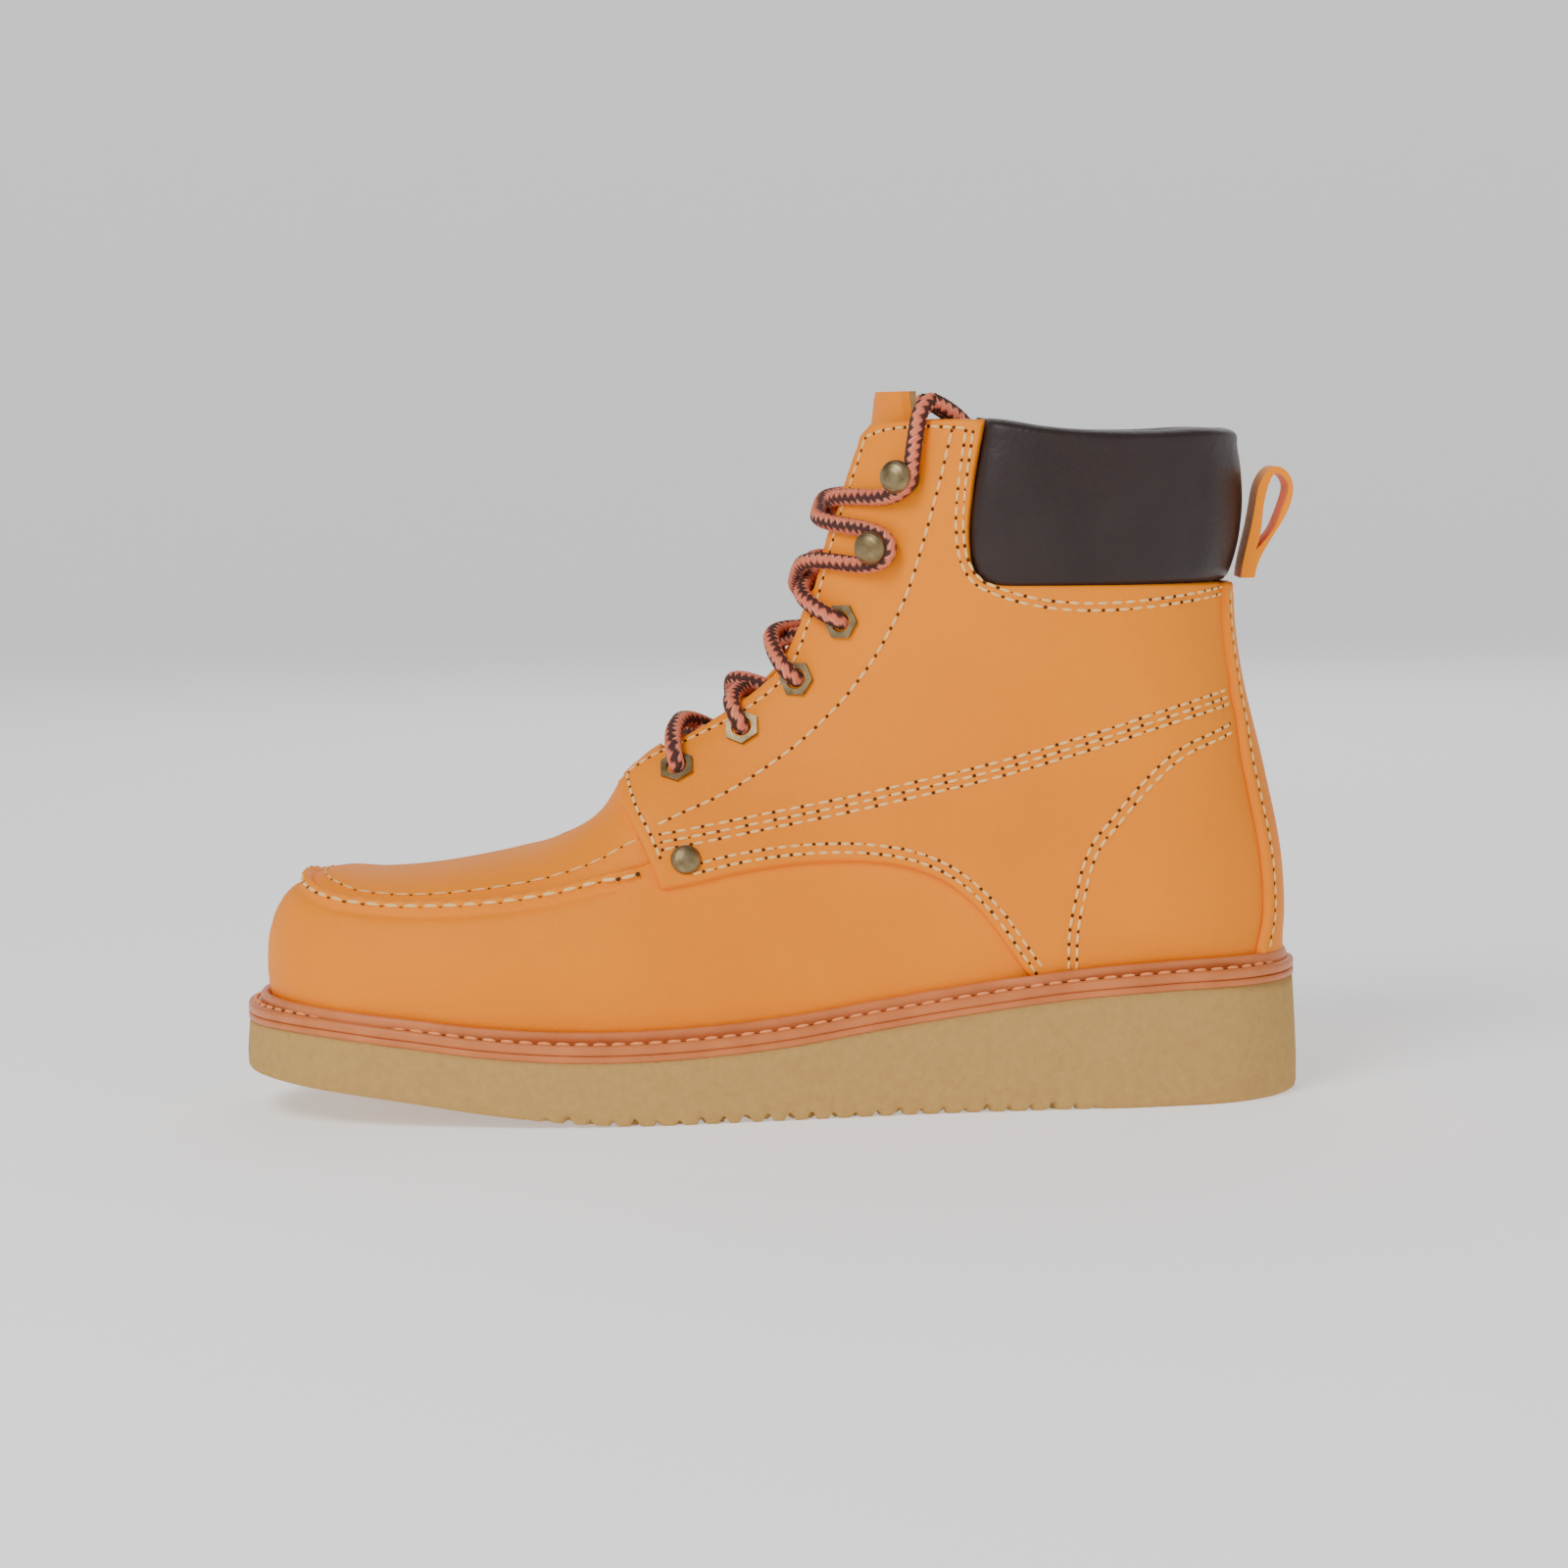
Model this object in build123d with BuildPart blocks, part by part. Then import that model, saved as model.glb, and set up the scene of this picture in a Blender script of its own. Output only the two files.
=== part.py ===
"""A left work boot: wedge sole, moc toe over a steel cap, padded collar, eyelets and speed hooks.

Millimetres. +X points to the heel, -X to the toe, -Y to the outer (lateral) side, +Z up. The
origin is under the middle of the boot, on the ground.

The upper's outer face is one smooth surface round the foot and shank. It is given by stations:
cross-sections in planes that stand upright from the toe to TURN_X, then turn about a line through
(TURN_X, TURN_Z) until they lie flat, then rise up the shaft. Every leather, lining and cap is a
layer of that surface, from one depth to another, trimmed by an outline seen from the side.
"""

from build123d import *
import functools
import math
import os

# ---------------------------------------------------------------- driving dimensions
SOLE_LENGTH = 306.0
SOLE_HALF = SOLE_LENGTH / 2
TURN_X = -60.0  # where the station planes start to turn
TURN_Z = 165.0  # height of the line that they turn about
TOE_TIP_X = -146.3  # foremost point of the upper
TOE_ROUND = 24.0  # length over which the toe turns from blunt to flat

LEATHER = 2.0  # upper leather
LAYER_GAP = 0.1  # air between two layers
CAP_STEEL = 1.8
LINING = 1.5

MIDSOLE = 2.0
WELT = 3.0
BEAD_HEIGHT = 3.5  # the raised lip of the storm welt
BEAD_MARGIN = 3.0  # from the sole's edge to the bead
BOARD = 2.2
FOAM = 4.2
FOOTBED_COVER = 0.8

FACING_GAP = 15.0  # half the gap between the two facings
BACKSTAY_HALF = 12.0
LACE_D = 4.8
EYELET_HOLE_R = 3.0
EYELET_ACROSS = 10.6  # corner to corner of the hexagonal flange

# One row per station: place, near edge, far edge, widest point (all measured along the plane from
# its top or front), outer and inner half width, and the squareness of the two ends.
# The place is x - TURN_X ahead of the turn, degrees within it, and 90 + (z - TURN_Z) above it.
STATIONS = [
    (-85.9, 116.5, 128.0, 122.2, 6.0, 6.0, 2.0, 2.0),
    (-84.5, 109.9, 135.0, 122.5, 12.2, 12.2, 2.05, 2.1),
    (-82.0, 104.6, 138.5, 123.0, 18.5, 18.8, 2.1, 2.3),
    (-78.0, 100.2, 140.7, 123.5, 25.3, 25.8, 2.2, 2.7),
    (-72.0, 96.5, 142.3, 124.0, 32.0, 32.6, 2.3, 3.2),
    (-64.0, 94.8, 143.7, 124.5, 37.5, 38.2, 2.4, 3.6),
    (-52.0, 95.4, 145.0, 125.0, 42.0, 42.6, 2.4, 4.0),
    (-38.0, 94.7, 146.6, 125.5, 44.6, 45.0, 2.4, 4.0),
    (-24.0, 92.7, 148.5, 126.0, 46.0, 46.0, 2.4, 4.0),
    (0.0, 86.9, 150.5, 127.0, 46.0, 44.0, 2.4, 4.0),
    (8.0, 81.0, 152.3, 130.2, 45.2, 41.6, 2.3, 4.0),
    (14.0, 73.0, 154.9, 133.4, 43.8, 39.2, 2.25, 4.0),
    (20.0, 69.0, 158.8, 137.0, 42.0, 36.5, 2.2, 4.0),
    (30.0, 67.2, 168.2, 146.0, 38.2, 32.8, 2.15, 4.0),
    (38.0, 66.6, 179.9, 156.0, 35.2, 31.2, 2.1, 4.0),
    (45.0, 67.1, 195.6, 165.0, 33.2, 31.2, 2.1, 3.8),
    (50.0, 67.7, 212.3, 171.0, 32.5, 31.6, 2.1, 3.2),
    (54.0, 68.5, 230.8, 176.0, 32.3, 31.9, 2.1, 2.7),
    (57.0, 69.3, 241.6, 177.0, 32.4, 32.2, 2.1, 2.35),
    (60.0, 69.7, 237.1, 174.0, 32.6, 32.5, 2.1, 2.2),
    (64.0, 70.2, 228.4, 168.0, 33.0, 33.0, 2.1, 2.1),
    (70.0, 71.1, 213.4, 158.0, 33.6, 33.6, 2.1, 2.1),
    (77.0, 72.8, 199.4, 150.0, 34.4, 34.4, 2.1, 2.1),
    (84.0, 74.6, 193.1, 146.0, 35.4, 35.4, 2.1, 2.1),
    (90.0, 76.9, 194.1, 146.0, 36.5, 36.5, 2.1, 2.1),
    (103.0, 81.9, 194.8, 148.0, 37.6, 37.6, 2.1, 2.1),
    (117.0, 87.0, 195.2, 150.0, 38.5, 38.5, 2.1, 2.1),
    (131.0, 91.0, 195.6, 152.0, 39.0, 39.0, 2.1, 2.1),
]

# Side profiles of the sole, as (x, z) from toe to heel.
GROUND_LINE = [(-153.0, 13.2), (-136.0, 11.3), (-106.0, 7.8), (-79.0, 3.8), (-51.0, 0.7), (-34.0, 0.0)]
SOLE_TOP = [(-153.0, 26.9), (-136.0, 26.4), (-106.0, 23.3), (-79.0, 19.9), (-51.0, 18.2),
            (-20.0, 18.8), (3.0, 20.6), (30.0, 24.4), (58.0, 28.2), (85.0, 31.3), (113.0, 33.0), (153.0, 33.2)]
# Half widths of the sole at points along it, outer side then inner side.
SOLE_OUTER = [(-148.0, 22.0), (-135.0, 37.0), (-115.0, 46.0), (-90.0, 50.5), (-60.0, 53.0), (-35.0, 52.5),
              (0.0, 48.0), (40.0, 42.0), (80.0, 39.0), (110.0, 37.5), (135.0, 31.0), (148.0, 18.0)]
SOLE_INNER = [(-148.0, 24.0), (-135.0, 38.0), (-115.0, 47.0), (-90.0, 52.0), (-70.0, 53.0), (-40.0, 48.5),
              (0.0, 40.0), (40.0, 36.0), (80.0, 37.0), (110.0, 37.5), (135.0, 31.0), (148.0, 18.0)]

# Where the eyelets, hooks and the flap's rivet stand, as (x, z) seen from the side.
EYELETS = [(-24.9, 97.0), (-6.0, 108.0), (10.4, 122.2), (23.5, 138.9)]
HOOKS = [(34.5, 159.9), (42.1, 179.3)]
RIVET = (-23.2, 72.8)

HEEL_STATION = 57.0  # the foot's loft ends and the shank's begins here, at the heel's corner
FAR = 400.0  # longer than the boot, for cutting bodies
SIDES = {"lateral": -1, "medial": 1}


# ---------------------------------------------------------------- the upper's surface
def between(place):
    """A station's values at any place, by a cubic through the rows on each side."""
    rows = STATIONS
    k = 1
    while k < len(rows) - 1 and rows[k][0] < place:
        k += 1
    before, low, high, after = rows[max(k - 2, 0)], rows[k - 1], rows[k], rows[min(k + 1, len(rows) - 1)]
    span = high[0] - low[0]
    s = (place - low[0]) / span
    values = []
    for i in range(1, 8):
        rise_low = (high[i] - before[i]) / max(high[0] - before[0], 1e-9) * span
        rise_high = (after[i] - low[i]) / max(after[0] - low[0], 1e-9) * span
        values.append(
            (2 * s**3 - 3 * s**2 + 1) * low[i] + (s**3 - 2 * s**2 + s) * rise_low
            + (3 * s**2 - 2 * s**3) * high[i] + (s**3 - s**2) * rise_high
        )
    return values


def lean(place):
    """0 at the toe's tip, where the surface faces forwards, to 1 where it faces out of the plane's edge."""
    return min(1.0, max(0.0, (TURN_X + place - TOE_TIP_X) / TOE_ROUND)) ** 0.5


def station_plane(place, height=0.0):
    """The plane of a station, moved for a layer that lies height above the surface."""
    if place < 0:
        step = height * math.sqrt(1 - lean(place) ** 2)
        return Plane(origin=(TURN_X + place - step, 0, TURN_Z), x_dir=(0, 0, -1), z_dir=(1, 0, 0))
    if place > 90:
        return Plane(origin=(TURN_X, 0, TURN_Z + place - 90), x_dir=(1, 0, 0), z_dir=(0, 0, 1))
    a = math.radians(place)
    return Plane(
        origin=(TURN_X, 0, TURN_Z), x_dir=(math.sin(a), 0, -math.cos(a)), z_dir=(math.cos(a), 0, math.sin(a))
    )


def section(place, height, count=24):
    """Points round a station: two half superellipses, joined where the boot is widest."""
    near, far, widest, outer, inner, square_near, square_far = between(place)
    out = height * (lean(place) if place < 0 else 1.0)
    points = []
    for k in range(count):
        a = 2 * math.pi * k / count
        side = outer if math.sin(a) > 0 else inner
        power = 2 / (square_near if math.cos(a) > 0 else square_far)
        reach = widest - near + out if math.cos(a) > 0 else far + out - widest
        along = widest - math.copysign(abs(math.cos(a)) ** power, math.cos(a)) * reach
        across = -math.copysign(abs(math.sin(a)) ** power, math.sin(a)) * (side + out)
        points.append((along, across))
    return points


def front_point(place, y, height):
    """The point on the front of the upper at a station and a distance across."""
    near, far, widest, outer, inner, square_near, square_far = between(place)
    half = (outer if y < 0 else inner) + height
    rise = (1 - min(abs(y) / half, 1.0) ** square_near) ** (1 / square_near)
    return station_plane(place).from_local_coords(Vector(widest - (widest - near + height) * rise, y, 0))


def place_of(x, z):
    """The station whose plane passes through (x, z)."""
    if x < TURN_X:
        return x - TURN_X
    if z > TURN_Z:
        return 90 + z - TURN_Z
    return math.degrees(math.atan2(x - TURN_X, TURN_Z - z))


def side_point(x, z, side, height=0.0):
    """The point on the upper seen at (x, z) from one side, at a height above the surface."""
    place = place_of(x, z)
    near, far, widest, outer, inner, square_near, square_far = between(place)
    along = station_plane(place).to_local_coords(Vector(x, 0, z)).X
    half = (outer if side < 0 else inner) + height
    if along < widest:
        share, square = (widest - along) / (widest - near + height), square_near
    else:
        share, square = (along - widest) / (far - widest + height), square_far
    return Vector(x, side * half * (1 - min(share, 1.0) ** square) ** (1 / square), z)


def side_normal(x, z, side):
    """The outward direction of the upper at a point seen from one side."""
    along_x = side_point(x + 1, z, side) - side_point(x - 1, z, side)
    along_z = side_point(x, z + 1, side) - side_point(x, z - 1, side)
    return (along_z.cross(along_x) * side).normalized()


@functools.cache
def inside(height):
    """The solid inside the surface raised by height: the foot and the shank, lofted one after the other."""
    with BuildPart() as solid:
        for first, last in ((STATIONS[0][0], HEEL_STATION), (HEEL_STATION, STATIONS[-1][0])):
            for row in STATIONS:
                if first <= row[0] <= last:
                    with BuildSketch(station_plane(row[0], height)):
                        with BuildLine():
                            Spline(*section(row[0], height), periodic=True)
                        make_face()
            loft()
    return solid.part


# ---------------------------------------------------------------- outlines and cutting bodies
def level(line, x):
    """The height of a profile line at x, straight between its points."""
    for (xa, za), (xb, zb) in zip(line, line[1:]):
        if xa <= x <= xb:
            return za + (zb - za) * (x - xa) / (xb - xa)
    return line[0][1] if x < line[0][0] else line[-1][1]


def side_band(low, high):
    """Everything between two heights above the sole's top line, through the whole width."""
    with BuildPart() as band:
        with BuildSketch(Plane.XZ):
            with BuildLine():
                lower = Spline(*[(x, z + low) for x, z in SOLE_TOP])
                upper = Spline(*[(x, z + high) for x, z in SOLE_TOP])
                Line(lower @ 0, upper @ 0)
                Line(lower @ 1, upper @ 1)
            make_face()
        extrude(amount=FAR / 2, both=True)
    return band.part


def above_sole(low):
    """Everything more than low above the sole's top line."""
    return side_band(low, FAR)


def side_outline(points, side=0, smooth=False):
    """An outline seen from the side, through the whole width or on one side only."""
    with BuildPart() as outline:
        with BuildSketch(Plane.XZ):
            with BuildLine():
                if smooth:
                    Spline(*points, periodic=True)
                else:
                    Polyline(*points, close=True)
            make_face()
        if side:
            extrude(amount=-side * FAR / 2)
        else:
            extrude(amount=FAR / 2, both=True)
    return outline.part


def plan_outline(margin):
    """The sole's outline from above, moved inwards by margin, through the whole height."""
    shrink = (SOLE_HALF - margin) / SOLE_HALF
    outer = [(x * shrink, margin - w) for x, w in SOLE_OUTER]
    inner = [(x * shrink, w - margin) for x, w in reversed(SOLE_INNER)]
    with BuildPart() as outline:
        with BuildSketch():
            with BuildLine():
                Spline((margin - SOLE_HALF, 0), *outer, (SOLE_HALF - margin, 0), *inner, periodic=True)
            make_face()
        extrude(amount=FAR)
    return outline.part


def strip(half, low_z=-FAR, high_z=FAR, low_x=-FAR, high_x=FAR):
    """A block half to each side of the middle."""
    with BuildPart() as block:
        with Locations(((low_x + high_x) / 2, 0, (low_z + high_z) / 2)):
            Box(high_x - low_x, 2 * half, high_z - low_z)
    return block.part


def save(part, name):
    part.label = name
    export_step(part, f"parts/{name}.step")
    return part


def trimmed(name, start, *steps):
    """A piece made from start by keeping (&) or cutting (-) or adding (+) one body after another, then written."""
    modes = {"+": Mode.ADD, "&": Mode.INTERSECT, "-": Mode.SUBTRACT}
    with BuildPart() as piece:
        add(start)
        for mode, other in steps:
            add(other, mode=modes[mode])
    return save(piece.part, name)


def layer(name, outer, inner, *zones, holes=()):
    """A piece of the upper: the layer between two depths, inside every zone and outside every hole."""
    steps = [("&", zone) for zone in zones] + [("-", inside(inner))] + [("-", hole) for hole in holes]
    return trimmed(name, inside(outer), *steps)


os.makedirs("parts", exist_ok=True)

# ---------------------------------------------------------------- depths of the layers
QUARTER_OUT = LAYER_GAP + LEATHER
BACKSTAY_IN = QUARTER_OUT + LAYER_GAP
BACKSTAY_OUT = BACKSTAY_IN + LEATHER
CAP_OUT = -LEATHER - 2 * LAYER_GAP
CAP_IN = CAP_OUT - CAP_STEEL
VAMP_LINING_OUT = CAP_IN - LAYER_GAP
VAMP_LINING_IN = VAMP_LINING_OUT - LINING
SHAFT_LINING_IN = CAP_OUT - LINING
COLLAR_OUT = 4.6
COLLAR_SKIN = 1.2
FLOOR_GAP = 0.2  # round the board, filler and footbed

UPPER_BASE = MIDSOLE + LAYER_GAP  # the upper stands on the midsole, inside the welt
upper_zone = above_sole(UPPER_BASE)

# ---------------------------------------------------------------- sole
with BuildPart() as outsole:
    with BuildSketch(Plane.XZ):
        with BuildLine():
            ground = Spline(*GROUND_LINE, tangents=((1, -0.1), (1, 0)))
            floor = Line(ground @ 1, (SOLE_HALF - 2, 0))
            heel = Line(floor @ 1, (SOLE_HALF, level(SOLE_TOP, SOLE_HALF)))
            top = Spline(*SOLE_TOP)
            Line(top @ 0, ground @ 0)
        make_face()
    extrude(amount=FAR / 4, both=True)
    add(plan_outline(0), mode=Mode.INTERSECT)
    with BuildSketch(Plane.XZ.offset(-FAR / 4)):
        with Locations(*[(x, 0) for x in range(-24, 140, 12)]):
            Rectangle(2.5, 3.0)
    extrude(amount=FAR / 2, mode=Mode.SUBTRACT)
save(outsole.part, "outsole")

trimmed("midsole", side_band(0.0, MIDSOLE), ("&", plan_outline(0.3)))

QUARTER_FOOT_X = 68.0  # behind this the quarters, and not the vamp, reach the welt
with BuildPart() as rear_core:
    add(inside(QUARTER_OUT + LAYER_GAP))
    add(strip(FAR / 2, low_x=QUARTER_FOOT_X), mode=Mode.INTERSECT)
front_core = inside(LAYER_GAP)
trimmed(
    "storm_welt", side_band(MIDSOLE, MIDSOLE + WELT), ("&", plan_outline(0.3)), ("-", front_core), ("-", rear_core.part)
)
trimmed(
    "welt_bead", side_band(MIDSOLE + WELT, MIDSOLE + WELT + BEAD_HEIGHT),
    ("&", plan_outline(BEAD_MARGIN)), ("-", front_core), ("-", rear_core.part),
)
floor_core = inside(VAMP_LINING_IN - FLOOR_GAP)
FILLER_TOP = MIDSOLE + 2.6
shank_room = strip(7.5, low_x=-36.0, high_x=76.0)
trimmed("cork_filler", side_band(UPPER_BASE, FILLER_TOP), ("&", floor_core), ("-", shank_room))
trimmed(
    "steel_shank", side_band(UPPER_BASE + 0.3, FILLER_TOP - 0.3), ("&", strip(7.0, low_x=-35.0, high_x=75.0))
)
BOARD_BASE = FILLER_TOP + LAYER_GAP
BOARD_TOP = BOARD_BASE + BOARD
trimmed("insole_board", side_band(BOARD_BASE, BOARD_TOP), ("&", floor_core))
FOAM_BASE = BOARD_TOP + 0.3
FOAM_TOP = FOAM_BASE + FOAM
COVER_BASE = FOAM_TOP + LAYER_GAP
footbed_core = inside(VAMP_LINING_IN - 2.5)
trimmed("footbed_foam", side_band(FOAM_BASE, FOAM_TOP), ("&", footbed_core))
trimmed("footbed_cover", side_band(COVER_BASE, COVER_BASE + FOOTBED_COVER), ("&", footbed_core))

# ---------------------------------------------------------------- vamp, apron and toe cap
SEAM = [(-133.5, 69.5), (-129.0, 66.6), (-122.0, 64.4), (-110.0, 62.3), (-92.0, 62.0), (-62.0, 65.4), (-38.0, 71.5)]
THROAT_X = -38.0
apron_zone = side_outline([*SEAM, (THROAT_X, 150.0), (-145.0, 150.0), (-145.0, 69.5)])
vamp_zone = side_outline([
    (-200.0, 69.2), (-133.9, 69.2), *[(x, z - 0.3) for x, z in SEAM[1:]], (8.0, 62.0), (70.0, 26.0), (70.0, 0.0),
    (-200.0, 0.0),
])
layer("vamp", 0.0, -LEATHER, vamp_zone, upper_zone)
layer("apron", 0.0, -LEATHER, apron_zone)
CAP_REAR_X = -88.0
layer("steel_toe_cap", CAP_OUT, CAP_IN, upper_zone, strip(FAR, high_x=CAP_REAR_X))
bumper_zone = strip(FAR, low_x=CAP_REAR_X + 0.2, high_x=CAP_REAR_X + 8.0)
layer("toe_cap_bumper", CAP_OUT, CAP_IN, above_sole(UPPER_BASE + 12.0), bumper_zone)
lining_zone = side_outline([(-200, 0), (-200, 150), (-52, 150), (-44, 74), (8, 62), (54, 40), (54, 0)])
layer("vamp_lining", VAMP_LINING_OUT, VAMP_LINING_IN, lining_zone, upper_zone)

# ---------------------------------------------------------------- quarters
FLAP_FRONT = [(-46.0, 101.0), (-43.0, 93.1), (-40.5, 87.0), (-35.0, 76.4), (-30.4, 65.1)]
QUARTER_LOW = [(-21.3, 66.5), (-7.3, 69.3), (14.2, 71.4), (29.6, 71.0), (39.8, 69.3), (49.9, 65.1), (58.0, 58.6),
               (63.9, 51.6), (68.7, 44.4), (73.2, 37.1), (80.0, 20.0)]
COLLAR_EDGE = [(63.4, 195.1), (60.0, 176.5), (58.7, 160.0), (60.2, 153.0), (66.4, 149.0), (134.0, 148.0)]
SHAFT_TOP = 195.6
quarter_zone = side_outline([
    *FLAP_FRONT, *QUARTER_LOW, (170.0, 0.0), (170.0, 148.0), *reversed(COLLAR_EDGE), (62.0, SHAFT_TOP),
    (10.0, SHAFT_TOP), (-46.0, 130.0),
])
with BuildPart() as facing_gap:  # a little narrower at the throat than at the top
    with BuildSketch(Plane.YZ.offset(-FAR / 2)):
        Polygon((-12.5, 60), (12.5, 60), (FACING_GAP + 2.0, 210), (-FACING_GAP - 2.0, 210), align=None)
    extrude(amount=FAR / 2 + 75.0)
back_seam = strip(0.2, low_x=80.0)
EYELET_BARREL_R = EYELET_HOLE_R + 0.5


def eyelet_bars(side, radius):
    """Round bars through the eyelets' places on one side."""
    with BuildPart() as bars:
        for x, z in EYELETS:
            with Locations(Plane(origin=side_point(x, z, side), z_dir=side_normal(x, z, side))):
                Cylinder(radius, 24)
    return bars.part


facing_zone = side_outline(
    [(-38, 96), (-36, 88), (-14, 92), (6, 103), (24, 120), (38, 140), (47, 163), (52, 192), (20, 194), (-44, 118)]
)
bars = {name: eyelet_bars(side, EYELET_BARREL_R + 0.1) for name, side in SIDES.items()}
for name, side in SIDES.items():
    own_side = side_outline([(-FAR, -FAR), (-FAR, FAR), (FAR, FAR), (FAR, -FAR)], side)
    layer(
        f"quarter_{name}", QUARTER_OUT, LAYER_GAP, quarter_zone, own_side, upper_zone,
        holes=(facing_gap.part, back_seam, bars[name]),
    )
    layer(
        f"facing_reinforcement_{name}", -LAYER_GAP, LAYER_GAP - LEATHER, facing_zone, own_side,
        holes=(facing_gap.part, bars[name]),
    )

counter_zone = side_outline([(76, 20), (76, 48), (90, 66), (110, 88), (126, 96), (160, 98), (160, 0)])
layer("heel_counter", -LAYER_GAP, LAYER_GAP - LEATHER, counter_zone, upper_zone)

# ---------------------------------------------------------------- shaft lining and collar
shaft_zone = side_outline([
    (56, 0), (56, 42), (8, 65), (-26, 78), (-42, 99), (-42, 194), (62, 194), (64, 186), (170, 186), (170, 0),
])
layer(
    "shaft_lining", CAP_OUT, SHAFT_LINING_IN, shaft_zone, upper_zone,
    holes=(facing_gap.part, bars["lateral"], bars["medial"]),
)
COLLAR_IN = COLLAR_OUT - COLLAR_SKIN
COLLAR_TOP = 187.0
collar_rim = [(170.0, 148.4), (170.0, COLLAR_TOP + 1.4), (100.0, COLLAR_TOP + 1.2), (78.0, 190.4), (64.4, 194.2)]
collar_zone = side_outline([(x + 0.4, z + 0.4) for x, z in COLLAR_EDGE] + collar_rim)
foam_zone = side_outline([(64, 186), (62.2, 176), (60.8, 160), (62.2, 154), (67.4, 150.8), (170, 150), (170, 186)])
layer("collar_foam", COLLAR_IN - LAYER_GAP, -LEATHER, foam_zone)
with BuildPart() as collar_core:
    add(inside(COLLAR_IN))
    add(strip(FAR / 2, high_z=COLLAR_TOP), mode=Mode.INTERSECT)
layer("collar_cover", COLLAR_OUT, SHAFT_LINING_IN, collar_zone, holes=(collar_core.part,))

# ---------------------------------------------------------------- backstay and pull loop
BACKSTAY_TOP = 147.2
layer(
    "backstay", BACKSTAY_OUT, BACKSTAY_IN, strip(BACKSTAY_HALF, low_x=100.0, low_z=0.0, high_z=BACKSTAY_TOP),
    above_sole(MIDSOLE + WELT + BEAD_HEIGHT + LAYER_GAP),
)
LOOP_HALF = 9.5
with BuildPart() as pull_loop:
    with BuildSketch(Plane.XZ):
        with BuildLine():
            limb = Spline((137.5, 148.6), (138.2, 153.0), (140.4, 162.0), (142.0, 170.0), (144.0, 177.0), (148.0, 180.4),
                          (151.6, 178.2), (152.8, 173.5), (150.8, 166.8), (146.6, 160.0), (143.2, 154.2), (141.5, 148.6))
            Line(limb @ 0, limb @ 1)
        make_face()
        with BuildLine():
            Spline((142.0, 157.0), (144.0, 166.5), (145.6, 174.5), (148.2, 178.4), (151.1, 175.8), (150.9, 171.5),
                   (148.4, 165.0), (144.6, 159.2), periodic=True)
        make_face(mode=Mode.SUBTRACT)
    extrude(amount=LOOP_HALF, both=True)
save(pull_loop.part, "pull_loop")

# ---------------------------------------------------------------- tongue
# Place of the section, depth of its outer face and half its width.
TONGUE_ROWS = [(18.0, -4.2, 16.0), (24.0, -10.0, 16.0), (34.0, -11.4, 16.0), (50.0, -11.4, 16.0), (66.0, -11.3, 16.5),
               (80.0, -9.8, 17.5), (95.0, -8.2, 19.0), (108.0, -6.4, 20.0), (119.0, -4.6, 19.5), (129.0, -3.2, 18.0)]
TONGUE_LEATHER = 1.8
TONGUE_LINING = 1.2


def tongue_layer(name, out, back):
    """A curved sheet that follows the front of the upper, between two depths below the tongue's face."""
    with BuildPart() as sheet:
        for place, depth, half in TONGUE_ROWS:
            plane = station_plane(place)
            across = [half * k / 4 for k in range(-4, 5)]
            face = [plane.to_local_coords(front_point(place, y, depth - out)) for y in across]
            rear = [plane.to_local_coords(front_point(place, y, depth - back)) for y in across]
            with BuildSketch(plane):
                with BuildLine():
                    Spline(*[(p.X, p.Y) for p in face])
                    Spline(*[(p.X, p.Y) for p in rear])
                    Line((face[0].X, face[0].Y), (rear[0].X, rear[0].Y))
                    Line((face[-1].X, face[-1].Y), (rear[-1].X, rear[-1].Y))
                make_face()
        loft()
    return save(sheet.part, name)


tongue_layer("tongue_leather", 0.0, TONGUE_LEATHER)
tongue_layer("tongue_lining", TONGUE_LEATHER + LAYER_GAP, TONGUE_LEATHER + LAYER_GAP + TONGUE_LINING)


# ---------------------------------------------------------------- eyelets, hooks and rivets
def upright(point, normal):
    """A plane through the normal, with its Y along the normal."""
    across = Vector(0, 0, 1).cross(normal).normalized()
    return Plane(origin=point, x_dir=across, z_dir=across.cross(normal))


def spun(point, normal, outline):
    """Turn a closed outline of (radius, height) points about the normal."""
    with BuildSketch(upright(point, normal)) as profile:
        with BuildLine():
            Polyline(*outline, close=True)
        make_face()
    revolve(profile.sketch, axis=Axis(point, normal))


def dome(radius, base, height, steps=6):
    """Outline points of a dome, from its rim up to the axis."""
    turns = [math.pi / 2 * k / steps for k in range(steps + 1)]
    return [(radius * math.cos(a), base + height * math.sin(a)) for a in turns[:-1]] + [(0, base + height)]


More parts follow.
